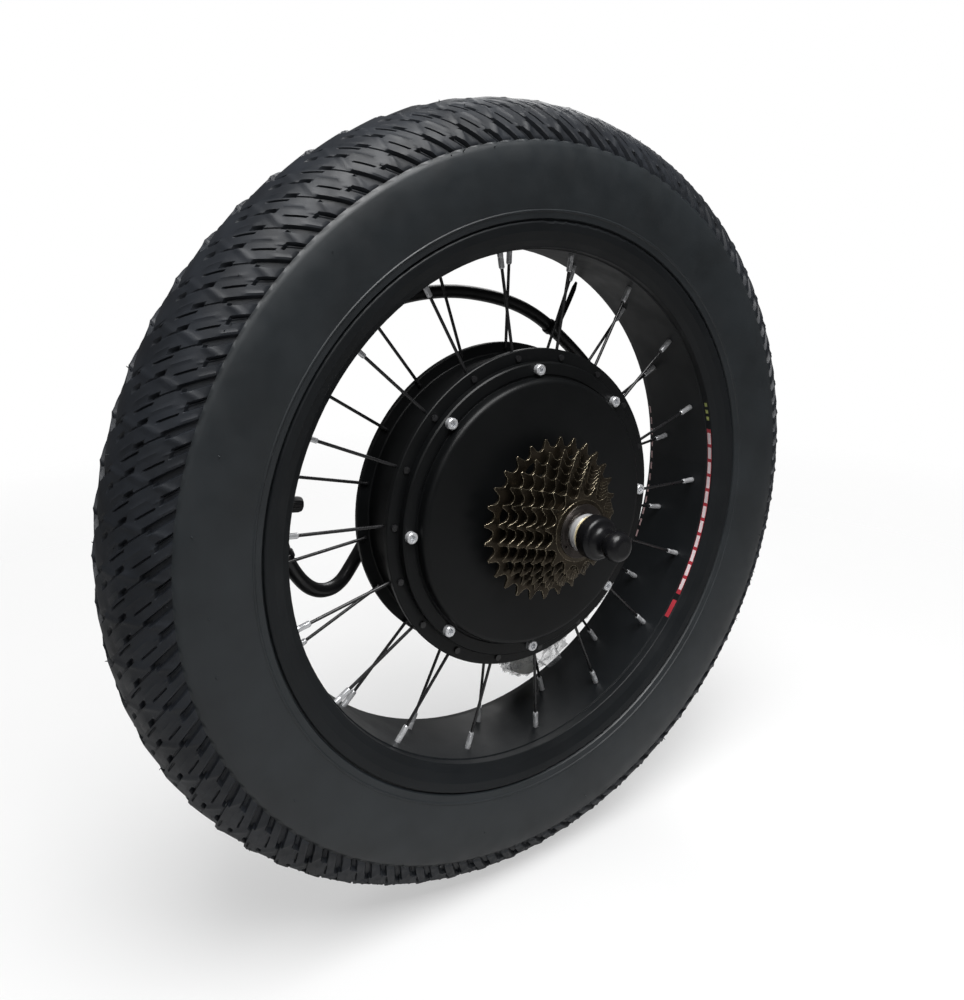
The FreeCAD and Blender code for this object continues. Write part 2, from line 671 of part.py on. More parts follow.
# ---- axle, bearings and what is on the axle ----
def make_axle():
    shoulder = DROPOUT_WIDTH / 2 - WASHER_THICKNESS
    axle = turned([
        (0, AXLE_DRIVE_END_Y),
        (AXLE_STUB_R - 1, AXLE_DRIVE_END_Y),
        (AXLE_STUB_R, AXLE_DRIVE_END_Y + 1),
        (AXLE_STUB_R, -shoulder),
        (AXLE_SEAT_R, -shoulder),
        (AXLE_SEAT_R, DRIVE_BEARING_Y[1]),
        (AXLE_CORE_R, DRIVE_BEARING_Y[1]),
        (AXLE_CORE_R, BRAKE_BEARING_Y[0]),
        (AXLE_SEAT_R, BRAKE_BEARING_Y[0]),
        (AXLE_SEAT_R, shoulder),
        (AXLE_STUB_R, shoulder),
        (AXLE_STUB_R, AXLE_BRAKE_END_Y - 1),
        (AXLE_STUB_R - 1, AXLE_BRAKE_END_Y),
        (0, AXLE_BRAKE_END_Y),
    ])
    half = AXLE_FLATS / 2
    for x in (half, -half - 10):
        for low_y, high_y in ((AXLE_DRIVE_END_Y - 1, -shoulder), (shoulder, AXLE_BRAKE_END_Y + 1)):
            axle = axle.cut(Part.makeBox(10, high_y - low_y, 30, Vector(x, low_y, -15)))
    axle = axle.cut(along_y(AXLE_BORE_R, 14.0, CABLE_EXIT_Y))
    axle = axle.cut(Part.makeBox(15, 12.0, 6.4, Vector(-15, 14.0, -3.2)))
    inside, outside = (polar(radius, CABLE_ANGLE, CABLE_EXIT_Y) for radius in (0.5, 14))
    exit_hole = rod(CABLE_R + 1.0, inside, outside)
    axle = axle.cut(exit_hole)
    middle = (STACK_Y[0] + STACK_Y[1]) / 2
    keyway = Part.makeBox(6.0, 18.2, 5.0, Vector(AXLE_CORE_R - 2.5, middle - 9.1, -2.5))
    return axle.cut(keyway)


def make_key():
    middle = (STACK_Y[0] + STACK_Y[1]) / 2
    return Part.makeBox(4.9, 18.0, 4.98, Vector(AXLE_CORE_R - 2.45, middle - 9.0, -2.49))


def make_bearing(span):
    """Deep-groove ball bearing: inner ring, outer ring, balls and cage."""
    low_y, high_y = span
    middle = (low_y + high_y) / 2
    groove = Part.makeTorus(BALL_CIRCLE_R, BALL_R + BALL_CLEARANCE, Vector(0, middle, 0), AXLE)
    inner = ring(AXLE_SEAT_R, 13.4, low_y, high_y).cut(groove)
    outer = ring(17.6, BEARING_OUTER_R, low_y, high_y).cut(groove)
    ball = Part.makeSphere(BALL_R, Vector(BALL_CIRCLE_R, middle, 0))
    balls = group(around(ball, BALLS))
    pocket = rod(BALL_R + 0.1, Vector(BALL_CIRCLE_R - 3, middle, 0), Vector(BALL_CIRCLE_R + 3, middle, 0))
    cage = ring(BALL_CIRCLE_R - 0.7, BALL_CIRCLE_R + 0.7, middle - 4.4, middle + 4.4)
    return inner, outer, balls, cage.cut(group(around(pocket, BALLS)))


def make_axle_spacers():
    shoulder = DROPOUT_WIDTH / 2 - WASHER_THICKNESS
    drive = ring(AXLE_SEAT_R + 0.03, SPACER_R, -shoulder, DRIVE_BEARING_Y[0])
    brake = ring(AXLE_SEAT_R + 0.03, SPACER_R, BRAKE_BEARING_Y[1], CABLE_EXIT_Y - CABLE_R - 1.4)
    return group([drive, brake])


def make_shaft_seals():
    inner = SPACER_R + 0.05
    drive = ring(inner, NECK_BORE_R, THREAD_Y[0] + 1.0, THREAD_Y[0] + 6.0)
    brake = ring(inner, NECK_BORE_R, SPIGOT_END_Y - 7.0, SPIGOT_END_Y - 2.0)
    return group([drive, brake])


def on_axle(solid):
    """Cuts the stub's section, with its two flats, out of a washer."""
    stub = along_y(AXLE_STUB_R + 0.05, -140, 140)
    half = AXLE_FLATS / 2 + 0.05
    flats = Part.makeBox(2 * half, 280, 30, Vector(-half, -140, -15))
    return solid.cut(stub.common(flats))


def make_washers(radius, gap, thickness):
    """A washer on each end of the axle, its inner face a gap away from the dropout width."""
    start = DROPOUT_WIDTH / 2 + gap
    washers = []
    for side in (-1, 1):
        low_y = start if side > 0 else -start - thickness
        washers.append(on_axle(ring(3.0, radius, low_y, low_y + thickness)))
    return group(washers)


def make_nuts():
    start = DROPOUT_WIDTH / 2 + LOCK_WASHER_THICKNESS
    nuts = []
    for low_y in (-start - NUT_HEIGHT, start):
        nut = hexagon(NUT_ACROSS_FLATS, low_y, low_y + NUT_HEIGHT)
        nut = nut.common(turned([
            (0, low_y),
            (NUT_ACROSS_FLATS / 2 + 0.2, low_y),
            (NUT_ACROSS_FLATS / 2 + 2.0, low_y + 1.2),
            (NUT_ACROSS_FLATS / 2 + 2.0, low_y + NUT_HEIGHT - 1.2),
            (NUT_ACROSS_FLATS / 2 + 0.2, low_y + NUT_HEIGHT),
            (0, low_y + NUT_HEIGHT),
        ]))
        nuts.append(nut.cut(along_y(AXLE_STUB_R + 0.03, low_y - 1, low_y + NUT_HEIGHT + 1)))
    return group(nuts)


def make_axle_cap():
    """Moulded cover over the nut, with a waist and a round end."""
    start = -DROPOUT_WIDTH / 2 - LOCK_WASHER_THICKNESS - 0.6
    end = -AXLE_BRAKE_END_Y
    return turned([
        (13.0, start),
        (14.2, start),
        (14.9, start - 0.9),
        (15.0, start - 7.4),
        (14.3, start - 9.6, 12.6, start - 10.8),
        (9.6, start - 12.3, 8.3, start - 15.0),
        (8.1, start - 18.0),
        (9.0, start - 20.0),
        (10.4, start - 23.6, 9.7, end + 3.6),
        (8.0, end + 1.2, 5.0, end),
        (0, end),
        (0, AXLE_DRIVE_END_Y - 0.2),
        (AXLE_STUB_R + 0.05, AXLE_DRIVE_END_Y - 0.2),
        (AXLE_STUB_R + 0.05, start - NUT_HEIGHT + 0.4),
        (13.0, start - NUT_HEIGHT + 0.4),
    ])


# ---- freewheel ----
def make_freewheel_inner():
    """Inner body, screwed on the cover's thread, with remover splines and two pawl pockets."""
    end_y = -88.6
    body = turned([
        (THREAD_R + 0.05, THREAD_Y[1]),
        (FREEWHEEL_INNER_R, THREAD_Y[1]),
        (FREEWHEEL_INNER_R, -86.0),
        (13.6, -86.0),
        (13.6, end_y),
        (FREEWHEEL_BORE_R, end_y),
        (FREEWHEEL_BORE_R, THREAD_Y[0] - 0.2),
        (THREAD_R + 0.05, THREAD_Y[0] - 0.2),
    ])
    notch = Part.makeBox(1.0, 12.0, 2.4, Vector(FREEWHEEL_BORE_R - 0.4, end_y - 1, -1.2))
    body = body.cut(group(around(notch, 12)))
    groove = Part.makeTorus(FREEWHEEL_INNER_R - 0.4, 0.75, Vector(0, -77.5, 0), AXLE)
    body = body.cut(groove)
    return body.cut(group([at_angle(pawl_pocket(), 0.0), at_angle(pawl_pocket(), 180.0)]))


def pawl_points(grow):
    """Pawl's side view as (x, z): a straight bar from its heel to its tip, grown by a margin."""
    heel = Vector(PAWL_PIVOT_R, 0, 0)
    tip = polar(PAWL_TIP_R, PAWL_TIP_ANGLE, 0)
    along = (tip - heel).normalize()
    across = Vector(along.z, 0, -along.x)
    half = 1.1 + grow
    end = tip - across * (1.1 + 0.5) + along * grow
    return [
        heel + across * (1.5 + grow),
        end + across * (1.1 + 0.45),
        end - across * half,
        heel - across * (1.5 + grow),
    ]


def make_pawl(angle):
    points = [(p.x, p.z) for p in pawl_points(0.0)]
    bar = prism(points, PAWL_Y[0], PAWL_Y[1])
    heel = along_y(PAWL_HEEL_R, PAWL_Y[0], PAWL_Y[1], PAWL_PIVOT_R)
    return at_angle(bar.fuse(heel).removeSplitter(), angle)


def pawl_pocket():
    """Room for a pawl to swing from the ratchet to below its tooth tips."""
    low_y = PAWL_Y[0] - 0.3
    high_y = PAWL_Y[1] + 0.3
    seat = along_y(PAWL_HEEL_R + 0.08, low_y, high_y, PAWL_PIVOT_R)
    floor = [
        (PAWL_PIVOT_R - 1.9, 0.3),
        (PAWL_PIVOT_R - 1.4, 5.0),
        (PAWL_PIVOT_R - 0.6, 11.0),
        (PAWL_PIVOT_R + 6.0, 11.0),
        (PAWL_PIVOT_R + 6.0, -1.2),
        (PAWL_PIVOT_R + 1.0, -1.7),
    ]
    return seat.fuse(prism(floor, low_y, high_y)).removeSplitter()


def make_freewheel_outer():
    """Outer body that carries the cogs, with the ratchet inside it."""
    clear = FREEWHEEL_INNER_R + 0.15
    body = turned([
        (clear, -54.6),
        (LARGE_COG_SEAT_R + 2.0, -54.6),
        (LARGE_COG_SEAT_R + 2.0, -55.0),
        (LARGE_COG_SEAT_R, -55.0),
        (LARGE_COG_SEAT_R, -80.0),
        (SMALL_COG_SEAT_R, -80.0),
        (SMALL_COG_SEAT_R, -87.2),
        (clear + 0.4, -87.8),
        (clear, -87.8),
    ])
    points = []
    pitch = 360.0 / RATCHET_TEETH
    for i in range(RATCHET_TEETH):
        face = RATCHET_FACE_ANGLE + pitch * i
        points.append(polar(RATCHET_ROOT_R, face, 0))
        points.append(polar(RATCHET_TIP_R, face, 0))
    ratchet = prism([(p.x, p.z) for p in points], RATCHET_Y[0], RATCHET_Y[1])
    return body.cut(ratchet)


def make_cog(teeth, index):
    """Toothed plate for half-inch chain."""
    low_y = COG_FIRST_Y - COG_STEP * index - COG_THICKNESS / 2
    pitch_r = CHAIN_PITCH / (2 * math.sin(math.pi / teeth))
    pitch = 360.0 / teeth
    edges = []
    tips = []
    for i in range(teeth):
        centre = polar(pitch_r, pitch * i, low_y)
        inward = pitch * i + 180

        def seat(spread):
            return centre + polar(ROLLER_SEAT_R, inward + spread, 0)

        edges.append(Part.Arc(seat(-64), seat(0), seat(64)).toShape())
        tip_r = pitch_r + 2.9
        width = math.degrees(0.75 / tip_r)
        before = polar(tip_r, pitch * (i - 0.5) + width, low_y)
        after = polar(tip_r, pitch * (i + 0.5) - width, low_y)
        ends = sorted((seat(-64), seat(64)), key=lambda p: before.distanceToPoint(p))
        edges.append(Part.LineSegment(before, ends[0]).toShape())
        edges.append(Part.LineSegment(ends[1], after).toShape())
        tips.append((before, after))
    for i in range(teeth):
        edges.append(Part.LineSegment(tips[i][1], tips[(i + 1) % teeth][0]).toShape())
    outline = Part.Wire(Part.__sortEdges__(edges))
    plate = outward(Part.Face(outline).extrude(Vector(0, COG_THICKNESS, 0)))
    bore_r = LARGE_COG_SEAT_R if index < 5 else SMALL_COG_SEAT_R
    plate = plate.cut(along_y(bore_r + 0.02, low_y - 1, low_y + 3))
    chamfer = turned([
        (0, low_y - 1),
        (pitch_r + 3.4, low_y - 1),
        (pitch_r + 3.4, low_y + 0.6),
        (pitch_r - 0.6, low_y - 0.05),
        (0, low_y - 0.05),
    ])
    mirror = chamfer.mirror(Vector(0, low_y + COG_THICKNESS / 2, 0), AXLE)
    plate = plate.cut(chamfer).cut(mirror)
    if teeth >= 24:
        window_r = (pitch_r - 6 + LARGE_COG_SEAT_R) / 2
        window = along_y((pitch_r - 6 - LARGE_COG_SEAT_R) / 2 - 2.5, low_y - 1, low_y + 3, window_r)
        plate = plate.cut(group(around(window, 7, 12.0)))
    return plate


def make_cog_spacers():
    spacers = []
    for index in range(6):
        high_y = COG_FIRST_Y - COG_STEP * index - COG_THICKNESS / 2
        low_y = high_y - COG_STEP + COG_THICKNESS
        inner = LARGE_COG_SEAT_R if index < 5 else SMALL_COG_SEAT_R
        spacers.append(ring(inner + 0.02, inner + 2.4, low_y, high_y))
    return group(spacers)


def make_end_ring():
    """Bearing cone screwed on the inner body, with two spanner holes."""
    cone = ring(13.65, FREEWHEEL_INNER_R, -88.6, -86.0)
    hole = along_y(1.1, -89.6, -87.0, 16.3)
    return cone.cut(group(around(hole, 2, 30.0)))


# ---- motor cable and what is on it ----
def make_cable():
    points = [Vector(*point) for point in CABLE_ROUTE]
    cable, length, radii = bent_rod(points, CABLE_R)
    print("cable length %.0f mm, radii %s" % (length, [round(r) for r in radii]))
    return cable


def make_grommet():
    """Rubber sleeve in the axle's cable hole, with a tapered nose."""
    start = polar(6.0, CABLE_ANGLE, CABLE_EXIT_Y)
    mouth = polar(AXLE_SEAT_R + 0.3, CABLE_ANGLE, CABLE_EXIT_Y)
    outwards = (mouth - start).normalize()
    sleeve = rod(CABLE_R + 0.9, start, mouth)
    nose = Part.makeCone(CABLE_R + 0.6, CABLE_R + 0.25, 3.7, mouth, outwards)
    bore = rod(CABLE_R + 0.05, start - outwards * 2, mouth + outwards * 6)
    return sleeve.fuse(nose).cut(bore).removeSplitter()


def make_tie(start, end, tail, tail_length):
    """Cable tie round the middle of one of the cable's runs, with its head and its free tail."""
    direction = (end - start).normalize()
    centre = (start + end) / 2
    across = (tail - direction * tail.dot(direction)).normalize()
    up = direction.cross(across)
    half = direction * TIE_WIDTH / 2
    band = rod(CABLE_R + TIE_THICKNESS, centre - half, centre + half)
    head = Part.makeBox(6.0, 6.4, TIE_WIDTH + 0.8, Vector(CABLE_R + 0.2, -3.2, -TIE_WIDTH / 2 - 0.4))
    strap = Part.makeBox(TIE_THICKNESS, tail_length, TIE_WIDTH, Vector(CABLE_R + 2.6, 0, -TIE_WIDTH / 2))
    extra = head.fuse(strap)
    extra.Placement = Placement(centre, Rotation(up, across, direction, "XYZ"))
    bore = rod(CABLE_R + 0.12, centre - direction * TIE_WIDTH, centre + direction * TIE_WIDTH)
    return band.fuse(extra).cut(bore).removeSplitter()


def make_ties():
    points = [Vector(*point) for point in CABLE_ROUTE]
    upper = make_tie(points[14], points[15], Vector(0.83, 0.1, 0.55), TIE_TAIL)
    left = make_tie(points[6], points[7], Vector(0.1, 0.9, 0.1), TIE_CUT_TAIL)
    return group([upper, left])


def make_power_connector():
    """White insulating sleeve, wider towards its mouth, with a hollow metal contact inside it."""
    axis = (CONNECTOR_END - CONNECTOR_TOP).normalize()
    length = CONNECTOR_TOP.distanceToPoint(CONNECTOR_END)
    flare = CONNECTOR_TOP + axis * length * 0.55
    neck_end = CONNECTOR_TOP + axis * length * 0.25
    neck = rod(CONNECTOR_NECK_R, CONNECTOR_TOP, neck_end)
    cone = Part.makeCone(CONNECTOR_NECK_R, CONNECTOR_R, length * 0.3, neck_end, axis)
    barrel = rod(CONNECTOR_R, flare, CONNECTOR_END)
    bore = rod(CONTACT_R + 0.05, flare, CONNECTOR_END + axis)
    lead_hole = rod(LEAD_R + 0.05, CONNECTOR_TOP - axis, flare + axis)
    sleeve = neck.fuse([cone, barrel]).cut(group([bore, lead_hole])).removeSplitter()
    contact = rod(CONTACT_R, CONNECTOR_END - axis * 16, CONNECTOR_END - axis * 1.5)
    contact = contact.cut(rod(CONTACT_R - 2.4, CONNECTOR_END - axis * 9, CONNECTOR_END))
    return sleeve, contact


def make_plug():
    axis = (PLUG_END - PLUG_START).normalize()
    body = rod(PLUG_R, PLUG_START, PLUG_END)
    skirt = rod(PLUG_R + 0.7, PLUG_END - axis * 10, PLUG_END - axis * 2)
    mouth = rod(PLUG_R - 1.8, PLUG_END - axis * 6, PLUG_END + axis)
    return body.fuse(skirt).cut(mouth).removeSplitter()


def make_leads():
    """Two leads from the cable's end: a short one to the plug and a long one into the power connector."""
    cable_end = Vector(*CABLE_ROUTE[-1])
    onward = (cable_end - Vector(*CABLE_ROUTE[-2])).normalize()
    sideways = onward.cross(AXLE).normalize() * 2.4
    plug_axis = (PLUG_END - PLUG_START).normalize()
    axis = (CONNECTOR_END - CONNECTOR_TOP).normalize()
    short_start = cable_end + sideways
    short, _, _ = bent_rod(
        [short_start, short_start + onward * 9, PLUG_START - plug_axis * 6, PLUG_START], LEAD_R, 3.0
    )
    long_start = cable_end - sideways
    long_points = [
        long_start,
        long_start + onward * 7,
        Vector(121.0, 42.5, -97.0),
        Vector(96.0, 43.0, -108.0),
        Vector(72.0, 40.0, -109.0),
        CONNECTOR_TOP - axis * 12,
        CONNECTOR_TOP + axis * 12,
    ]
    long_lead, _, _ = bent_rod(long_points, LEAD_R, 4.0)
    return group([short, long_lead])


def make_wrap(pieces):
    """Two loose lumps of clear film round the connectors, each a rounded body cut clear of them.
    The one round the plug is open at the plug's mouth."""
    plug_middle = (PLUG_START + PLUG_END) / 2
    plug_axis = (PLUG_END - PLUG_START).normalize()
    plug_way = rod(PLUG_R, PLUG_START, PLUG_END + plug_axis * 25)
    lumps = []
    for centre, size, tilt in (
        (Vector(52.0, 37.0, -148.0), (37.0, 14.0, 23.0), 8.0),
        (plug_middle, (21.0, 10.0, 13.5), 49.7),
    ):
        ball = Part.makeSphere(1.0)
        ball.rotate(ORIGIN, Vector(0, 0, 1), 90.0)  # its seam faces along the axle, away from the plug
        scale = FreeCAD.Matrix()
        scale.scale(Vector(*size))
        lump = ball.transformGeometry(scale)
        lump.rotate(ORIGIN, AXLE, -tilt)
        lump.translate(centre)
        lumps.append(max(lump.cut(group(pieces + [plug_way])).Solids, key=lambda solid: solid.Volume))
    return group(lumps)


def main():
    os.makedirs("parts", exist_ok=True)
    save("rim", make_rim())
    save("rim_strip", make_rim_strip())
    save("tyre", make_tyre())
    save("inner_tube", make_inner_tube())
    stem, nut, cap = make_valve()
    save("valve_stem", stem)
    save("valve_nut", nut)
    save("valve_cap", cap)
    save("drive_spokes", group(around(make_spoke(-1), SPOKES_PER_SIDE, DRIVE_SPOKE_ANGLE)))
    save("brake_spokes", group(around(make_spoke(1), SPOKES_PER_SIDE, BRAKE_SPOKE_ANGLE)))
    nipples = around(make_nipple(-1), SPOKES_PER_SIDE, DRIVE_SPOKE_ANGLE)
    nipples += around(make_nipple(1), SPOKES_PER_SIDE, BRAKE_SPOKE_ANGLE)
    save("spoke_nipples", group(nipples))

    save("hub_shell", make_hub_shell())
    save("drive_cover", make_drive_cover())
    save("brake_cover", make_brake_cover())
    save("cover_gaskets", make_gaskets())
    save("cover_screws", group(make_cover_screws(-1) + make_cover_screws(1)))

    save("rotor_ring", ring(RING_R - RING_THICKNESS, RING_R, RING_Y[0], RING_Y[1]))
    save("rotor_magnets", make_magnets())
    save("stator_core", make_stator_core())
    save("stator_windings", make_windings())
    save("stator_spider", make_spider())
    save("hall_sensor_board", make_hall_board())
    save("phase_leads", make_phase_leads())

    save("axle", make_axle())
    save("axle_key", make_key())
    for name, span in (("drive", DRIVE_BEARING_Y), ("brake", BRAKE_BEARING_Y)):
        inner, outer, balls, cage = make_bearing(span)
        save(name + "_bearing_inner_ring", inner)
        save(name + "_bearing_outer_ring", outer)
        save(name + "_bearing_balls", balls)
        save(name + "_bearing_cage", cage)
    save("axle_spacers", make_axle_spacers())
    save("shaft_seals", make_shaft_seals())
    save("axle_washers", make_washers(13.3, -WASHER_THICKNESS, WASHER_THICKNESS))
    save("lock_washers", make_washers(12.3, 0.0, LOCK_WASHER_THICKNESS))
    save("axle_nuts", make_nuts())
    save("axle_end_cap", make_axle_cap())

    save("freewheel_inner_body", make_freewheel_inner())
    save("freewheel_end_ring", make_end_ring())
    save("pawl_spring", Part.makeTorus(FREEWHEEL_INNER_R - 0.45, 0.4, Vector(0, -77.5, 0), AXLE))
    save("pawl_1", make_pawl(0.0))
    save("pawl_2", make_pawl(180.0))
    save("freewheel_outer_body", make_freewheel_outer())
    for index, teeth in enumerate(COG_TEETH):
        save("cog_%d" % teeth, make_cog(teeth, index))
    save("cog_spacers", make_cog_spacers())

    save("motor_cable", make_cable())
    save("cable_grommet", make_grommet())
    save("cable_ties", make_ties())
    tube, contact = make_power_connector()
    plug = make_plug()
    leads = make_leads()
    save("power_connector", tube)
    save("power_contact", contact)
    save("sensor_plug", plug)
    save("connector_leads", leads)
    save("connector_wrap", make_wrap([tube, contact, plug, leads]))


main()
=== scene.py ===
import json
import math
import random

import bmesh
import bpy
from mathutils import Matrix, Vector, noise


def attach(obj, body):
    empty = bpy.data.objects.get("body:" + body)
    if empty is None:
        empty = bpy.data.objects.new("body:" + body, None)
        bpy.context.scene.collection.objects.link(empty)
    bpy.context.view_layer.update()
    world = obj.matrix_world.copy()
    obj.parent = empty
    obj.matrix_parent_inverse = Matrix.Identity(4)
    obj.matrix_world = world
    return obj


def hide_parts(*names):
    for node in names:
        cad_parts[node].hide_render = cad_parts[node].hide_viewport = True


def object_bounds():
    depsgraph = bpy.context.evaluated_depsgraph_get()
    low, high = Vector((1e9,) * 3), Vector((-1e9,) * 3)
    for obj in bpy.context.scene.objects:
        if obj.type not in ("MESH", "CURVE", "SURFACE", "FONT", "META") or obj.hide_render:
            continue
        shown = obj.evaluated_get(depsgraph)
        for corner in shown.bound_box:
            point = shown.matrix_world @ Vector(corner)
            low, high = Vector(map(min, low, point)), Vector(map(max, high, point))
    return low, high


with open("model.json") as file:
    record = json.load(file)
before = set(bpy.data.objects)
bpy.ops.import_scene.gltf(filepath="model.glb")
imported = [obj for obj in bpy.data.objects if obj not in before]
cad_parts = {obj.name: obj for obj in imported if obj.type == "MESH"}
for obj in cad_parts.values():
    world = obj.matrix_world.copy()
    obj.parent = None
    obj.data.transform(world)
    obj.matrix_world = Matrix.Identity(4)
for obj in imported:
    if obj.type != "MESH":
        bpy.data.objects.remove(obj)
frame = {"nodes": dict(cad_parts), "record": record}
nodes = frame["nodes"]
cad_low, cad_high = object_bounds()
scene = bpy.context.scene
MM = 0.001


# ---- camera ----
CAMERA_PLACE = (-394.4, -536.6, 220.5)
CAMERA_TURN = 35.814
CAMERA_DROP = 10.934
CAMERA_LENS = 32.76
CAMERA_SHIFT = (-0.0162, -0.1197)


def add_camera():
    camera = bpy.data.objects.new("camera", bpy.data.cameras.new("camera"))
    scene.collection.objects.link(camera)
    camera.location = Vector(CAMERA_PLACE) * MM
    camera.rotation_euler = (math.radians(90 - CAMERA_DROP), 0, math.radians(-CAMERA_TURN))
    camera.data.lens = CAMERA_LENS
    camera.data.shift_x, camera.data.shift_y = CAMERA_SHIFT
    camera.data.clip_start = 0.01
    scene.camera = camera


add_camera()


# ---- dimensions shared with the CAD part, in millimetres ----
CABLE_R = 5.2
CABLE_ANGLE = 202.3
CABLE_EXIT_Y = 85.0
CABLE_ROUTE = (
    (-5.6, 85.0, -2.3),
    (-42.0, 85.0, -17.2),
    (-78.0, 68.0, -25.0),
    (-103.5, 51.0, -42.0),
    (-122.0, 42.5, -56.0),
    (-143.5, 36.5, -52.5),
    (-160.5, 33.0, -32.0),
    (-171.0, 31.0, -4.0),
    (-170.0, 30.0, 42.0),
    (-155.0, 31.0, 88.0),
    (-124.0, 34.0, 128.0),
    (-86.0, 37.0, 152.5),
    (-31.0, 38.0, 159.0),
    (20.0, 38.0, 150.0),
    (56.0, 38.0, 135.0),
    (88.0, 38.0, 110.0),
    (118.0, 39.0, 82.0),
    (144.0, 39.0, 48.0),
    (154.0, 37.0, 2.0),
    (150.0, 34.0, -42.0),
    (138.0, 32.5, -82.0),
)
CABLE_END = Vector(CABLE_ROUTE[-1])
CABLE_ONWARD = (CABLE_END - Vector(CABLE_ROUTE[-2])).normalized()
AXLE_WAY = Vector((0, 1, 0))
LEAD_SIDEWAYS = CABLE_ONWARD.cross(AXLE_WAY).normalized() * 2.4
LEAD_R = 1.6
CONNECTOR_TOP = Vector((52.0, 36.0, -122.0))
CONNECTOR_END = Vector((44.0, 37.0, -172.0))
CONNECTOR_AXIS = (CONNECTOR_END - CONNECTOR_TOP).normalized()
PLUG_START = Vector((129.0, 32.3, -104.0))
PLUG_END = Vector((109.5, 32.3, -127.0))
PLUG_AXIS = (PLUG_END - PLUG_START).normalized()
RIM_BED_R = 190.0
SPOKES_PER_SIDE = 18
SPOKE_CIRCLE_R = 113.8
NIPPLE_Y = 16.5
SPOKE_SIDES = ((-1, -22.9, 15.4), (1, 13.0, 5.4))
VALVE_ANGLE = 170.4
VALVE_TIP_R = 168.0


def polar(radius, degrees, y):
    angle = math.radians(degrees)
    return Vector((radius * math.cos(angle), y, radius * math.sin(angle)))


# ---- mesh helpers ----
def add_mesh(name, points, faces, sharp=35.0, tidy=False):
    """A piece from points in millimetres in the row frame, smooth apart from edges over the sharp angle."""
    mesh = bpy.data.meshes.new(name)
    mesh.from_pydata([tuple(c * MM for c in p) for p in points], [], faces)
    if tidy:
        work = bmesh.new()
        work.from_mesh(mesh)
        bmesh.ops.recalc_face_normals(work, faces=work.faces)
        work.to_mesh(mesh)
        work.free()
    mesh.update()
    mesh.shade_smooth()
    mesh.set_sharp_from_angle(angle=math.radians(sharp))
    piece = bpy.data.objects.new(name, mesh)
    scene.collection.objects.link(piece)
    return piece


def frame_along(direction):
    """Two unit vectors square to a direction and to each other."""
    helper = AXLE_WAY if abs(direction.y) < 0.9 else Vector((1, 0, 0))
    first = direction.cross(helper).normalized()
    return first, direction.cross(first).normalized()


def lathe(points, faces, start, direction, profile, segments=48, shape=None):
    """Adds a closed turned body to points and faces. profile lists (distance along, radius);
    shape(index, angle) scales the radius round each ring."""
    first, second = frame_along(direction)
    base = len(points)
    for index, (along, radius) in enumerate(profile):
        for step in range(segments):
            angle = 2 * math.pi * step / segments
            reach = radius * (shape(index, angle) if shape else 1.0)
            offset = first * math.cos(angle) * reach + second * math.sin(angle) * reach
            points.append(start + direction * along + offset)
    rings = len(profile)
    for ring in range(rings - 1):
        for step in range(segments):
            a = base + ring * segments + step
            b = base + ring * segments + (step + 1) % segments
            faces.append((a, b, b + segments, a + segments))
    last = base + (rings - 1) * segments
    faces.append(tuple(base + step for step in reversed(range(segments))))
    faces.append(tuple(last + step for step in range(segments)))


def closed_lathe(points, faces, start, direction, profile, segments=64, shape=None):
    """Like lathe, but the profile's last ring joins its first, as on a sleeve."""
    base = len(points)
    lathe(points, faces, start, direction, profile, segments, shape)
    del faces[-2:]
    last = base + (len(profile) - 1) * segments
    for step in range(segments):
        onward = (step + 1) % segments
        faces.append((last + step, last + onward, base + onward, base + step))


def add_curve(name, route, radius):
    """A smooth cord: a NURBS spline with the route's points as its control points."""
    curve = bpy.data.curves.new(name, "CURVE")
    curve.dimensions = "3D"
    spline = curve.splines.new("NURBS")
    spline.points.add(len(route) - 1)
    for point, place in zip(spline.points, route):
        point.co = (place[0] * MM, place[1] * MM, place[2] * MM, 1.0)
    spline.order_u = 3
    spline.use_endpoint_u = True
    curve.resolution_u = 14
    curve.bevel_depth = radius * MM
    curve.bevel_resolution = 7
    curve.use_fill_caps = True
    piece = bpy.data.objects.new(name, curve)
    scene.collection.objects.link(piece)
    return piece


# ---- materials ----
def node(tree, kind, **values):
    made = tree.nodes.new(kind)
    for key, value in values.items():
        if key in made.inputs:
            made.inputs[key].default_value = value
        else:
            setattr(made, key, value)
    return made


def noise_at(tree, size, detail=3.0):
    """Noise whose features are about size millimetres across, in the row frame."""
    place = node(tree, "ShaderNodeTexCoord").outputs["Object"]
    grain = node(tree, "ShaderNodeTexNoise", Scale=1.0 / (size * MM), Detail=detail)
    tree.links.new(place, grain.inputs["Vector"])
    return grain.outputs["Fac"]


def spread(tree, value, low, high, start=0.3, end=0.7):
    """Maps a value from start..end to low..high."""
    change = node(tree, "ShaderNodeMapRange", clamp=True)
    for socket, number in zip(("From Min", "From Max", "To Min", "To Max"), (start, end, low, high)):
        change.inputs[socket].default_value = number
    tree.links.new(value, change.inputs["Value"])
    return change.outputs["Result"]


def arithmetic(tree, operation, first, second=0.0):
    step = node(tree, "ShaderNodeMath", operation=operation)
    for socket, value in zip(step.inputs, (first, second)):
        if isinstance(value, (int, float)):
            socket.default_value = value
        else:
            tree.links.new(value, socket)
    return step.outputs[0]


def blend_colours(tree, factor, first, second):
    mix = node(tree, "ShaderNodeMix", data_type="RGBA")
    for socket, value in zip((mix.inputs["Factor"], mix.inputs[6], mix.inputs[7]), (factor, first, second)):
        if isinstance(value, (int, float, tuple)):
            socket.default_value = value
        else:
            tree.links.new(value, socket)
    return mix.outputs[2]


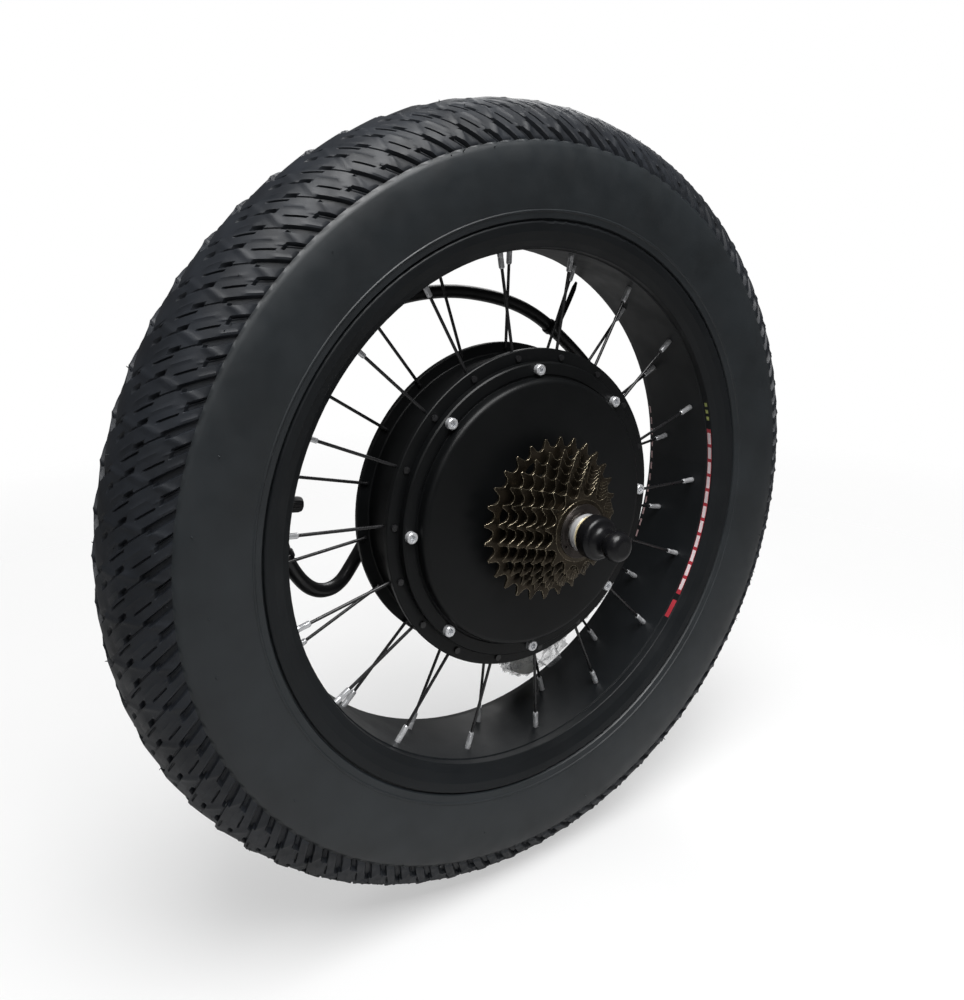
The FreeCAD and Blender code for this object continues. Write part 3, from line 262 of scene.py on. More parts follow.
def radius_and_y(tree):
    """Distance from the axle and distance along it, in metres."""
    split = node(tree, "ShaderNodeSeparateXYZ")
    tree.links.new(node(tree, "ShaderNodeTexCoord").outputs["Object"], split.inputs[0])
    across = arithmetic(tree, "POWER", split.outputs["X"], 2.0)
    up = arithmetic(tree, "POWER", split.outputs["Z"], 2.0)
    return arithmetic(tree, "SQRT", arithmetic(tree, "ADD", across, up)), split.outputs["Y"]


def scaled(colour, factor):
    return tuple(min(1.0, c * factor) for c in colour) + (1.0,)


GLOSS_SPREAD = 0.07


def surface(
    name, colour, roughness, metallic=0.0, vary=0.2, patch=40.0, grain=0.8, bump=0.06,
    specular=0.5, coat=0.0, bevel=0.0, edge_wear_and_glint_colour=None, lines=None, lines_bump=0.25,
):
    """A finish with slow changes of colour and gloss, fine grain, rounded edges with an optional edge
    colour (real wear, and on the freewheel also a painted highlight), and turned marks (lines 'radius') or
    stacked layers (lines 'layer') at a pitch in millimetres."""
    material = bpy.data.materials.new(name)
    material.use_nodes = True
    tree = material.node_tree
    shader = tree.nodes["Principled BSDF"]
    slow = noise_at(tree, patch)
    darker, lighter = scaled(colour, 1 - vary), scaled(colour, 1 + vary)
    shade = blend_colours(tree, spread(tree, slow, 0.0, 1.0), darker, lighter)
    fine = noise_at(tree, grain, 2.0)
    height = fine
    if lines:
        direction, pitch = lines
        distance, along = radius_and_y(tree)
        chosen = distance if direction == "radius" else along
        wave = arithmetic(tree, "SINE", arithmetic(tree, "MULTIPLY", chosen, 2 * math.pi / (pitch * MM)))
        height = arithmetic(tree, "ADD", fine, arithmetic(tree, "MULTIPLY", wave, lines_bump))
    raised = node(tree, "ShaderNodeBump", Strength=bump, Distance=0.001)
    tree.links.new(height, raised.inputs["Height"])
    if bevel:
        rounded = node(tree, "ShaderNodeBevel", samples=4)
        rounded.inputs["Radius"].default_value = bevel * MM
        tree.links.new(rounded.outputs["Normal"], raised.inputs["Normal"])
        if edge_wear_and_glint_colour:
            # Edge colour blended in where the bevel normal turns away from the face: real edge wear, and on
            # the freewheel also a painted highlight for glints on the teeth.
            turn = node(tree, "ShaderNodeVectorMath", operation="DOT_PRODUCT")
            tree.links.new(rounded.outputs["Normal"], turn.inputs[0])
            tree.links.new(node(tree, "ShaderNodeNewGeometry").outputs["Normal"], turn.inputs[1])
            wear_and_glint_mask = spread(tree, turn.outputs["Value"], 1.0, 0.0, 0.9, 0.995)
            patchy = arithmetic(tree, "MULTIPLY", wear_and_glint_mask, spread(tree, noise_at(tree, 6.0), 0.2, 1.0))
            shade = blend_colours(tree, patchy, shade, edge_wear_and_glint_colour + (1.0,))
    tree.links.new(shade, shader.inputs["Base Color"])
    tree.links.new(raised.outputs["Normal"], shader.inputs["Normal"])
    smoothest, roughest = max(0.02, roughness - GLOSS_SPREAD), min(1.0, roughness + GLOSS_SPREAD)
    gloss = spread(tree, noise_at(tree, patch * 0.4), smoothest, roughest)
    tree.links.new(gloss, shader.inputs["Roughness"])
    shader.inputs["Metallic"].default_value = metallic
    shader.inputs["Specular IOR Level"].default_value = specular
    shader.inputs["Coat Weight"].default_value = coat
    shader.inputs["Coat Roughness"].default_value = 0.25
    return material


def film_surface(name):
    """Thin clear film: mostly see-through, whiter and less see-through in noise patches, partly the film's
    own whitening and partly a painted highlight.
    """
    material = bpy.data.materials.new(name)
    material.use_nodes = True
    tree = material.node_tree
    shader = tree.nodes["Principled BSDF"]
    # Noise patches, not tied to the folds: whiter colour and lower transparency, partly real whitening of
    # the film and partly a painted highlight for bright folds.
    fold_sheen_noise = noise_at(tree, 7.0, 6.0)
    clear, fold_sheen_white = (0.55, 0.57, 0.6, 1.0), (0.93, 0.94, 0.95, 1.0)
    shade = blend_colours(tree, spread(tree, fold_sheen_noise, 0.0, 1.0), clear, fold_sheen_white)
    tree.links.new(shade, shader.inputs["Base Color"])
    tree.links.new(spread(tree, fold_sheen_noise, 0.08, 0.5, 0.4, 0.7), shader.inputs["Alpha"])
    shader.inputs["Roughness"].default_value = 0.13
    shader.inputs["Specular IOR Level"].default_value = 0.8
    raised = node(tree, "ShaderNodeBump", Strength=0.5, Distance=0.002)
    tree.links.new(noise_at(tree, 4.0, 5.0), raised.inputs["Height"])
    tree.links.new(raised.outputs["Normal"], shader.inputs["Normal"])
    return material


def all_finishes():
    steel = dict(metallic=1.0, vary=0.08, patch=18.0, bump=0.02)
    plated = dict(metallic=0.55, vary=0.08, patch=18.0, bump=0.02)
    paint = dict(vary=0.15, patch=60.0, grain=0.5)
    return {
        "tyre_rubber": surface(
            "tyre_rubber", (0.0172, 0.021, 0.024), 0.45, specular=0.58, grain=0.35, bump=0.05),
        "soft_rubber": surface("soft_rubber", (0.025, 0.025, 0.027), 0.7, bump=0.12),
        "rim_black": surface(
            "rim_black", (0.008, 0.0095, 0.011), 0.45, specular=0.3, bump=0.03, bevel=0.5, **paint),
        "hub_black": surface(
            "hub_black", (0.0045, 0.005, 0.0054), 0.4, specular=0.25, bump=0.035, bevel=0.5, **paint),
        "spoke_black": surface("spoke_black", (0.012, 0.012, 0.013), 0.3, patch=9.0, coat=0.2),
        "bright_steel": surface("bright_steel", (0.8, 0.81, 0.83), 0.24, bevel=0.25, **plated),
        "lock_washer_zinc": surface(
            "lock_washer_zinc", (0.78, 0.66, 0.4), 0.25, bevel=0.3, lines=("radius", 0.5), **plated),
        "axle_steel": surface("axle_steel", (0.55, 0.54, 0.53), 0.3, bevel=0.3, **plated),
        "bearing_steel": surface("bearing_steel", (0.78, 0.79, 0.8), 0.12, **steel),
        # The light edge colour on the freewheel is partly real wear on the teeth and partly a painted
        # highlight standing for their glints.
        "freewheel_steel": surface(
            "freewheel_steel", (0.05, 0.04, 0.028), 0.28, metallic=0.85, vary=0.5, patch=14.0, grain=1.6,
            bump=0.06, bevel=0.4, edge_wear_and_glint_colour=(0.9, 0.78, 0.56)),
        "dark_steel": surface(
            "dark_steel", (0.07, 0.06, 0.055), 0.32, metallic=0.9, vary=0.3, patch=12.0, bevel=0.3,
            edge_wear_and_glint_colour=(0.4, 0.37, 0.33)),
        "black_plastic": surface(
            "black_plastic", (0.006, 0.006, 0.007), 0.28, bump=0.03, specular=0.38, bevel=0.4),
        "valve_brass": surface("valve_brass", (0.55, 0.45, 0.26), 0.3, lines=("radius", 1.0), **steel),
        "rotor_iron": surface("rotor_iron", (0.3, 0.3, 0.31), 0.4, lines=("layer", 0.8), **steel),
        "magnet_nickel": surface("magnet_nickel", (0.68, 0.67, 0.63), 0.18, **steel),
        "lamination": surface(
            "lamination", (0.3, 0.31, 0.33), 0.42, lines=("layer", 0.5), lines_bump=0.8, **steel),
        "copper_wire": surface(
            "copper_wire", (0.6, 0.26, 0.1), 0.3, metallic=0.9, vary=0.2, patch=8.0, bump=0.5,
            lines=("radius", 0.9), lines_bump=1.0),
        "spider_alloy": surface("spider_alloy", (0.6, 0.61, 0.62), 0.5, metallic=0.9, grain=1.2, bump=0.12),
        "circuit_board": surface("circuit_board", (0.02, 0.16, 0.06), 0.35, vary=0.4, patch=2.5, coat=0.4),
        "lead_insulation": surface("lead_insulation", (0.03, 0.03, 0.033), 0.45, patch=20.0),
        "cable_jacket": surface("cable_jacket", (0.011, 0.011, 0.012), 0.34, patch=30.0, bump=0.04),
        "white_sleeve": surface("white_sleeve", (0.82, 0.82, 0.79), 0.32, vary=0.08, patch=9.0, coat=0.3),
        "contact_brass": surface("contact_brass", (0.78, 0.58, 0.18), 0.22, lines=("layer", 0.7), **steel),
        "clear_film": film_surface("clear_film"),
    }


finishes = all_finishes()
tread_finish = surface(
    "tread_rubber", (0.015, 0.0175, 0.022), 0.5, specular=0.38, vary=0.3, patch=25.0, grain=0.6, bump=0.12)


def dress(piece, slot, *materials):
    """Gives a new piece its finish: the materials given, else the finish named by the slot."""
    for material in materials or (finishes[slot],):
        piece.data.materials.append(material)
    return piece


def dress_cad_nodes():
    for row in frame["record"]["subparts"]:
        piece = nodes[row["node"]]
        finish = finishes[row["material_slot"]]
        if piece.material_slots:
            for slot in piece.material_slots:
                slot.material = finish
        else:
            piece.data.materials.append(finish)


# ---- motor cable, its grommet, ties and leads ----
def make_cable():
    cable = dress(add_curve("cable", CABLE_ROUTE, CABLE_R), "cable_jacket")
    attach(cable, "stator")
    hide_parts("motor_cable")


def make_leads():
    long_start = CABLE_END - LEAD_SIDEWAYS
    long_route = (
        long_start,
        long_start + CABLE_ONWARD * 7,
        (121.0, 42.5, -97.0),
        (96.0, 43.0, -108.0),
        (72.0, 40.0, -109.0),
        CONNECTOR_TOP - CONNECTOR_AXIS * 12,
        CONNECTOR_TOP + CONNECTOR_AXIS * 12,
    )
    short_start = CABLE_END + LEAD_SIDEWAYS
    short_route = (short_start, short_start + CABLE_ONWARD * 9, PLUG_START - PLUG_AXIS * 6, PLUG_START)
    long_lead = dress(add_curve("long_lead", long_route, LEAD_R), "lead_insulation")
    short_lead = dress(add_curve("short_lead", short_route, LEAD_R), "lead_insulation")
    for lead in (long_lead, short_lead):
        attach(lead, "stator")
    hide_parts("connector_leads")
    return short_lead


def make_grommet():
    """Rubber sleeve with three ribs where the cable leaves the axle."""
    start = polar(6.0, CABLE_ANGLE, CABLE_EXIT_Y)
    outwards = polar(1.0, CABLE_ANGLE, 0.0)
    bore = CABLE_R + 0.05
    profile = [(0.0, bore), (0.0, 6.1), (4.3, 6.1), (4.3, 5.8)]
    for rib in range(3):
        low = 4.7 + rib * 1.1
        profile += [(low, 5.8 - rib * 0.1), (low + 0.2, 6.05 - rib * 0.1)]
        profile += [(low + 0.6, 6.05 - rib * 0.1), (low + 0.8, 5.7 - rib * 0.1)]
    profile += [(8.0, 5.45), (8.0, bore)]
    points, faces = [], []
    closed_lathe(points, faces, start, outwards, profile)
    return dress(add_mesh("cable_grommet_ribbed", points, faces, tidy=True), "soft_rubber")


def strap(points, faces, centres, widths, thickness, flat_way):
    """A thin tape along centres with ridges across one face, tapered as widths say."""
    base = len(points)
    for index, (centre, width) in enumerate(zip(centres, widths)):
        ahead = centres[min(index + 1, len(centres) - 1)] - centres[max(index - 1, 0)]
        out = ahead.normalized().cross(flat_way).normalized()
        top = thickness / 2 - (0.28 if index % 2 else 0.0)
        corners = ((-1, -thickness / 2), (1, -thickness / 2), (1, top), (-1, top))
        points += [centre + flat_way * side * width / 2 + out * high for side, high in corners]
    for index in range(len(centres) - 1):
        for corner in range(4):
            a = base + index * 4 + corner
            b = base + index * 4 + (corner + 1) % 4
            faces.append((a, b, b + 4, a + 4))
    last = base + (len(centres) - 1) * 4
    faces.append((base + 3, base + 2, base + 1, base))
    faces.append((last, last + 1, last + 2, last + 3))


def block(points, faces, centre, axes, sizes, chamfer):
    """A box with chamfered edges, as two square ends joined by eight-sided rings."""
    long_way, side_way, up_way = axes
    length, width, height = sizes
    base = len(points)
    outline = []
    for x, z in ((1, 1), (-1, 1), (-1, -1), (1, -1)):
        near, far = (chamfer, 0) if x * z > 0 else (0, chamfer)
        outline.append((x * (width / 2 - near), z * (height / 2 - far)))
        outline.append((x * (width / 2 - far), z * (height / 2 - near)))
    slope = chamfer / length
    for along, shrink in ((-0.5, 0.86), (slope - 0.5, 1.0), (0.5 - slope, 1.0), (0.5, 0.86)):
        for x, z in outline:
            points.append(centre + long_way * along * length + side_way * x * shrink + up_way * z * shrink)
    count = len(outline)
    for ring in range(3):
        for step in range(count):
            a = base + ring * count + step
            b = base + ring * count + (step + 1) % count
            faces.append((a, b, b + count, a + count))
    faces.append(tuple(base + step for step in reversed(range(count))))
    faces.append(tuple(base + 3 * count + step for step in range(count)))


TIE_WIDTH = 4.4
TIE_THICKNESS = 1.25
TIE_TAIL = 44.0
TIE_CUT_TAIL = 7.0


def add_tie(points, faces, first, second, tail_way, tail_length, curl):
    """One nylon tie: band, ratchet head and free tail, round the middle of one of the cable's runs."""
    first, second = Vector(first), Vector(second)
    direction = (second - first).normalized()
    centre = (first + second) / 2
    across = (tail_way - direction * tail_way.dot(direction)).normalized()
    up = direction.cross(across)
    profile = [(-2.3, 5.3), (-2.3, 6.0), (-1.9, 6.4), (1.9, 6.4), (2.3, 6.0), (2.3, 5.3)]
    closed_lathe(points, faces, centre, direction, profile)
    block(points, faces, centre + up * (CABLE_R + 3.2), (across, direction, up), (6.4, 5.4, 6.0), 0.8)
    steps = max(8, int(tail_length / 0.9))
    centres, widths = [], []
    for step in range(steps + 1):
        share = step / steps
        lift = curl * share * share
        centres.append(centre + up * (CABLE_R + 3.2 + lift) + across * (share * tail_length))
        widths.append(TIE_WIDTH if share < 0.86 else TIE_WIDTH * (1 - (share - 0.86) * 4.2))
    strap(points, faces, centres, widths, TIE_THICKNESS, direction)


def make_ties():
    points, faces = [], []
    add_tie(points, faces, CABLE_ROUTE[14], CABLE_ROUTE[15], Vector((0.83, 0.1, 0.55)), TIE_TAIL, -3.0)
    add_tie(points, faces, CABLE_ROUTE[6], CABLE_ROUTE[7], Vector((0.1, 0.9, 0.1)), TIE_CUT_TAIL, 0.0)
    return dress(add_mesh("cable_ties_nylon", points, faces, tidy=True), "black_plastic")


def make_connector_sleeve():
    """White sleeve shrunk round the lead, wider towards the mouth, with soft creases."""
    length = (CONNECTOR_END - CONNECTOR_TOP).length
    profile = [(0.0, 1.7), (0.0, 5.9), (0.5, 6.7)]
    for step in range(1, 27):
        along = step * (length - 1.5) / 27
        flare = min(1.0, max(0.0, (along / length - 0.25) / 0.3))
        radius = 7.0 + 3.3 * flare * flare * (3 - 2 * flare)
        profile.append((along, radius - 0.18 * math.sin(along * 1.7) * (1 - flare) - 0.1 * (step % 2)))
    profile += [(length - 0.8, 10.25), (length - 0.1, 9.8), (length, 9.2), (length, 6.7)]
    profile += [(length - 0.8, 6.15), (length - 16.4, 6.1), (length - 16.6, 1.7)]

    def crease(index, angle):
        return 1 + 0.012 * math.sin(3 * angle + index * 0.35) + 0.006 * math.sin(7 * angle - index * 0.6)

    points, faces = [], []
    closed_lathe(points, faces, CONNECTOR_TOP, CONNECTOR_AXIS, profile, 72, crease)
    return dress(add_mesh("power_connector_sleeve", points, faces, 50.0, True), "white_sleeve")


PLUG_PINS = 5
PIN_CIRCLE_R = 2.7


def make_plug():
    """Second plug: ribbed grip, raised skirt, hollow mouth with contact pins."""
    length = (PLUG_END - PLUG_START).length
    profile = [(0.0, 1.7), (0.0, 4.6), (0.8, 5.4)]
    for rib in range(6):
        low = 2.0 + rib * 2.4
        profile += [(low, 5.3), (low + 0.4, 6.0), (low + 1.4, 6.0), (low + 1.8, 5.3)]
    profile += [(length - 10.0, 5.9), (length - 9.6, 6.7), (length - 2.4, 6.7), (length - 2.0, 5.9)]
    profile += [(length - 0.3, 5.9), (length, 5.6), (length, 4.4), (length - 0.3, 4.2)]
    profile += [(length - 6.0, 4.2), (length - 6.0, 1.7)]
    points, faces = [], []
    closed_lathe(points, faces, PLUG_START, PLUG_AXIS, profile)
    first, second = frame_along(PLUG_AXIS)
    for pin in range(PLUG_PINS):
        angle = 2 * math.pi * pin / PLUG_PINS
        sideways = (first * math.cos(angle) + second * math.sin(angle)) * PIN_CIRCLE_R
        foot = PLUG_START + PLUG_AXIS * (length - 6.4) + sideways
        lathe(points, faces, foot, PLUG_AXIS, [(0, 0.45), (3.6, 0.45), (4.0, 0.25)], 12)
    return dress(add_mesh("sensor_plug_ribbed", points, faces, tidy=True), "black_plastic")


# ---- crumpled film round the connectors ----
FILM_LUMPS = (
    ("film_lump_large", Vector((55.0, 38.0, -148.0)), (38.0, 15.5, 32.0), 8.0, 3.1),
    ("film_lump_small", Vector((119.25, 33.3, -115.5)), (26.0, 11.5, 17.5), 49.7, 8.7),
)
FILM_NEAR_Y = 21.5
FILM_OUTER_R = 185.5
FILM_CORNERS = 7
CORNER_RISE = 0.20
CORNER_FROM = 0.93


def keep_clear(place):
    """Holds film points behind the spokes and inside the rim."""
    place.y = max(place.y, FILM_NEAR_Y)
    reach = math.hypot(place.x, place.z)
    if reach > FILM_OUTER_R:
        place.x *= FILM_OUTER_R / reach
        place.z *= FILM_OUTER_R / reach
    return place


def crumple(name, centre, half, tilt, seed):
    """A loose bag of film: flat panels that sag in between sharp folds, with a few pointed corners."""
    work = bmesh.new()
    bmesh.ops.create_icosphere(work, subdivisions=6, radius=1.0)
    turn = Matrix.Rotation(-math.radians(tilt), 3, "Y")
    picker = random.Random(int(seed * 10))
    corners = []
    for _ in range(FILM_CORNERS):
        corners.append(Vector([picker.uniform(-1, 1) for _ in range(3)]).normalized())
    shift = Vector((seed, seed * 2, -seed))
    for vertex in work.verts:
        way = vertex.co.normalized()
        reach = 1.02
        for size, depth in ((2.1, 0.30), (4.6, 0.13), (9.0, 0.05)):
            near = noise.voronoi(way * size + shift, distance_metric="DISTANCE")[0]
            reach -= depth * min(1.0, (near[1] - near[0]) * 1.8)
        for corner in corners:
            reach += CORNER_RISE * max(0.0, (way.dot(corner) - CORNER_FROM) / (1 - CORNER_FROM)) ** 2
        place = centre + turn @ Vector((way.x * half[0], way.y * half[1], way.z * half[2])) * reach
        vertex.co = keep_clear(place) * MM
    mesh = bpy.data.meshes.new(name)
    work.to_mesh(mesh)
    work.free()
    mesh.shade_smooth()
    mesh.set_sharp_from_angle(angle=math.radians(28))
    piece = bpy.data.objects.new(name, mesh)
    scene.collection.objects.link(piece)
    return dress(piece, "clear_film")


def make_film_neck():
    """The film pulled into a twisted rope between the two lumps."""
    start, end = Vector((83.0, 35.5, -141.0)), Vector((108.0, 33.0, -125.0))
    length = (end - start).length
    profile = []
    for step in range(25):
        share = step / 24
        profile.append((share * length, 2.6 + 5.2 * abs(2 * share - 1) ** 1.8))

    def flute(index, angle):
        return 1 + 0.26 * math.sin(6 * angle + index * 0.42) + 0.1 * math.sin(11 * angle - index * 0.3)

    points, faces = [], []
    lathe(points, faces, start, (end - start).normalized(), profile, 72, flute)
    points = [keep_clear(point) for point in points]
    return dress(add_mesh("film_neck", points, faces, 40.0, True), "clear_film")


def make_cable_end():
    grommet = make_grommet()
    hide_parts("cable_grommet")
    ties = make_ties()
    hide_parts("cable_ties")
    sleeve = make_connector_sleeve()
    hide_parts("power_connector")
    plug = make_plug()
    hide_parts("sensor_plug")
    lumps = [crumple(*row) for row in FILM_LUMPS]
    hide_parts("connector_wrap")
    neck = make_film_neck()
    for piece in (grommet, ties, sleeve, plug, neck, *lumps):
        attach(piece, "stator")
    short_lead = make_leads()
    make_cable()


make_cable_end()


# ---- tyre ----
TYRE_CORE_R = 247.3
TYRE_SECTION_R = 47.2
INSIDE_RISE = 41.7
INSIDE_HALF_WIDTH = 43.6
REPEATS = 64
PITCH = 360.0 / REPEATS
LEAN = 0.0238
LEAN_FROM = 47.0
PHASE = 0.498
ROW_STEP = 1.6
TREAD_ROWS = 35
REPEAT_LENGTH = 2 * math.pi * (TYRE_CORE_R + TYRE_SECTION_R) / REPEATS
TREAD_FOOT = 57.2
EDGE_DROP = 0.6
HALF_COLUMNS = (0.014, 0.032, 0.075, 0.095, 0.125, 0.145, 0.20, 0.26, 0.32, 0.38, 0.44, 0.468, 0.486)
COARSE_COLUMNS = (0, 6, 13, 19)
# Each cut or rib of one tread repeat: place round the tyre, half its width there, both as shares of a
# repeat, then where it starts and ends across the tread, and its height, in millimetres.
TREAD_MARKS = (
    (0.0, 0.075, 0.0, 8.0, -2.8),
    (0.11, 0.015, 6.4, 11.2, -1.4),
    (0.5, 0.014, 3.2, 9.6, -0.8),
    (0.477, 0.038, 11.2, 14.4, -2.8),
    (0.5, 0.014, 12.8, 27.2, -0.8),
    (0.477, 0.038, 25.6, 28.8, -2.8),
    (0.11, 0.015, 20.8, 28.8, -1.4),
    (0.82, 0.005, 16.0, 25.6, 0.5),
    (-0.023, 0.038, 27.2, 30.4, -2.8),
    (0.0, 0.014, 28.8, 43.2, -0.8),
    (-0.023, 0.038, 41.6, 44.8, -2.8),
    (0.61, 0.015, 36.8, 44.8, -1.6),
    (0.32, 0.005, 30.4, 41.6, 0.5),
    (0.5, 0.1, 49.6, 57.2, -2.6),
    (0.0, 0.1, 44.8, 57.2, -2.8),
    (0.477, 0.01, 46.4, 57.2, 0.5),
    (0.82, 0.005, 48.0, 57.2, 0.4),
)
# The middle of each slanted rib: place round the tyre as a share of a repeat, place across the tread
# and height, in millimetres. All run outwards at 45 degrees.
SLANTED_RIBS = ((0.27, 50.0, 1.1), (0.72, 33.5, 1.0), (0.27, 17.0, 0.8))
RIB_HALF_LENGTH = 7.0
RIB_HALF_WIDTH = 1.9
# The crown's blocks fall by CROWN_FALL over each repeat, and less so from CROWN_FADE inside CROWN_EDGE.
CROWN_FALL = 1.9
CROWN_EDGE = 26.0
CROWN_FADE = 12.0


def rib_height(column, across):
    """The highest slanted rib over a place on the tread, rounded off at its sides and ends."""
    highest = 0.0
    for place, middle, step in SLANTED_RIBS:
        onward = ((column - place + 0.5) % 1.0 - 0.5) * REPEAT_LENGTH
        outward = across - middle
        along, beside = (onward + outward) / math.sqrt(2), (onward - outward) / math.sqrt(2)
        past = max(0.0, abs(along) - RIB_HALF_LENGTH)
        highest = max(highest, step * (1 - math.hypot(past, beside) / RIB_HALF_WIDTH))
    return highest


def tread_height(column, across):
    """Height over the plain tread: ribs, blocks that fall away over each repeat at the crown, and cuts."""
    fade = min(1.0, max(0.0, (CROWN_EDGE - across) / CROWN_FADE))
    height = rib_height(column, across) - CROWN_FALL * column * fade
    for place, half, start, end, step in TREAD_MARKS:
        gap = (column - place + 0.5) % 1.0 - 0.5
        if abs(gap) <= half + 1e-6 and start - 1e-6 <= across <= end + 1e-6:
            height = min(height, step) if step < 0 else height + step
    return height


def circle_through(a, b, c):
    """Centre and radius of the circle through three points of the section."""
    (ax, ay), (bx, by), (cx, cy) = a, b, c
    d = 2 * (ax * (by - cy) + bx * (cy - ay) + cx * (ay - by))
    sa, sb, sc = ax * ax + ay * ay, bx * bx + by * by, cx * cx + cy * cy
    x = (sa * (by - cy) + sb * (cy - ay) + sc * (ay - by)) / d
    y = (sa * (cx - bx) + sb * (ax - cx) + sc * (bx - ax)) / d
    return x, y, math.hypot(ax - x, ay - y)


def flank(a, b, c, radii, lift=lambda r: 0.0):
    """Points (radius, half width) on the arc through three points, at the given radii."""
    x, y, size = circle_through(a, b, c)
    return [(r, y + math.sqrt(size ** 2 - (r - x) ** 2) + lift(r)) for r in radii]


def tyre_side_outline():
    """Half section from the tread's foot down the sidewall, round the bead and up the inside."""
    outline = []
    for degrees in (72, 75, 79, 83, 87, 90):
        angle = math.radians(degrees)
        reach = TYRE_SECTION_R - EDGE_DROP * (90 - degrees) / 20
        outline.append((TYRE_CORE_R + reach * math.cos(angle), reach * math.sin(angle)))

    def bead_line(radius):
        return 0.5 if 216.0 < radius < 217.1 else 0.0

    wall = (243.5, 239.5, 235.5, 231.5, 227.5, 224.0, 220.5, 218.8)
    by_the_bead = (217.6, 217.0, 216.2, 215.6, 213.4, 211.6)
    outline += flank((TYRE_CORE_R, 47.2), (229.0, 46.6), (211.6, 43.7), wall + by_the_bead, bead_line)
    outline += [(210.8, 42.4), (210.6, 41.2), (208.0, 40.7), (203.1, 40.6), (203.1, 34.8), (205.5, 35.2)]
    inside = (214.0, 221.0, 229.0, 238.0, TYRE_CORE_R)
    outline += flank((214.0, 39.6), (229.0, 42.6), (TYRE_CORE_R, INSIDE_HALF_WIDTH), inside)
    for degrees in range(80, 0, -10):
        angle = math.radians(degrees)
        outline.append((TYRE_CORE_R + INSIDE_RISE * math.cos(angle), INSIDE_HALF_WIDTH * math.sin(angle)))
    return outline


def make_tyre():
    columns = sorted(HALF_COLUMNS + tuple(c + 0.5 for c in HALF_COLUMNS))
    fine = [(k, i) for k in range(REPEATS) for i in range(len(columns))]
    coarse = [k * len(columns) + i for k in range(REPEATS) for i in COARSE_COLUMNS]
    points, faces = [], []

    def column_angle(index, degrees):
        repeat, column = fine[index]
        return PITCH * (repeat + columns[column] + PHASE - LEAN * (degrees - LEAN_FROM))

    crossings = [step * ROW_STEP for step in range(-TREAD_ROWS, TREAD_ROWS + 1)]
    crossings = [-TREAD_FOOT] + crossings + [TREAD_FOOT]
    for across in crossings:
        angle = across / TYRE_SECTION_R
        degrees = abs(math.degrees(angle))
        foot = abs(across) >= TREAD_FOOT
        for index in range(len(fine)):
            height = tread_height(columns[fine[index][1]], abs(across))
            if foot:
                height = -EDGE_DROP if height > -EDGE_DROP else height
            reach = TYRE_SECTION_R + height
            radius = TYRE_CORE_R + reach * math.cos(angle)
            points.append(polar(radius, column_angle(index, degrees), -reach * math.sin(angle)))
    count = len(fine)
    for row in range(len(crossings) - 1):
        for index in range(count):
            a, b = row * count + index, row * count + (index + 1) % count
            faces.append((a, b, b + count, a + count))
    tread_faces = len(faces)

    half = tyre_side_outline()
    crown = (TYRE_CORE_R + INSIDE_RISE, 0.0)
    loop = [(r, -y) for r, y in half] + [crown] + [(r, y) for r, y in reversed(half)]
    foot_degrees = math.degrees(TREAD_FOOT / TYRE_SECTION_R)
    base = len(points)
    for radius, y in loop:
        points += [polar(radius, column_angle(index, foot_degrees), y) for index in coarse]
    wide = len(coarse)
    for row in range(len(loop) - 1):
        for step in range(wide):
            a, b = base + row * wide + step, base + row * wide + (step + 1) % wide
            faces.append((a, b, b + wide, a + wide))
    first_row = (len(crossings) - 1) * count
    last_ring = base + (len(loop) - 1) * wide
    for step in range(wide):
        low, high = coarse[step], coarse[(step + 1) % wide]
        high = high if high > low else high + count
        onward = (step + 1) % wide
        span = [index % count for index in range(low, high + 1)]
        faces.append(tuple(first_row + index for index in span) + (base + onward, base + step))
        faces.append(tuple(index for index in reversed(span)) + (last_ring + step, last_ring + onward))
    tyre = add_mesh("tyre_treaded", points, faces, 32.0, True)
    dress(tyre, "tyre_rubber", finishes["tyre_rubber"], tread_finish)
    indices = [1] * tread_faces + [0] * (len(faces) - tread_faces)
    tyre.data.polygons.foreach_set("material_index", indices)
    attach(tyre, "wheel")
    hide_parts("tyre")


def make_vent_hairs():
    """Short rubber hairs left by the mould's vents, on the tread and high on the sidewalls, but none
    where the tyre stands."""
    picker = random.Random(20)
    points, faces = [], []
    for _ in range(150):
        place = picker.uniform(0, 360)
        angle = math.radians(picker.choice((-1, 1)) * picker.uniform(5, 112))
        length = picker.uniform(0.8, 2.6)
        if 255 < place < 285 and abs(angle) < 1.2:
            continue
        drop = EDGE_DROP if abs(angle) > 1.2 else 0.3
        reach = TYRE_SECTION_R - drop
        foot = polar(TYRE_CORE_R + reach * math.cos(angle), place, -reach * math.sin(angle))
        out = polar(math.cos(angle), place, -math.sin(angle)).normalized()
        lean = Vector([picker.uniform(-0.35, 0.35) for _ in range(3)])
        profile = [(0, 0.45), (length * 0.6, 0.3), (length, 0.15)]
        lathe(points, faces, foot, (out + lean).normalized(), profile, 6)
    hairs = dress(add_mesh("tyre_vent_hairs", points, faces), "tyre_rubber")
    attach(hairs, "wheel")


make_tyre()
make_vent_hairs()


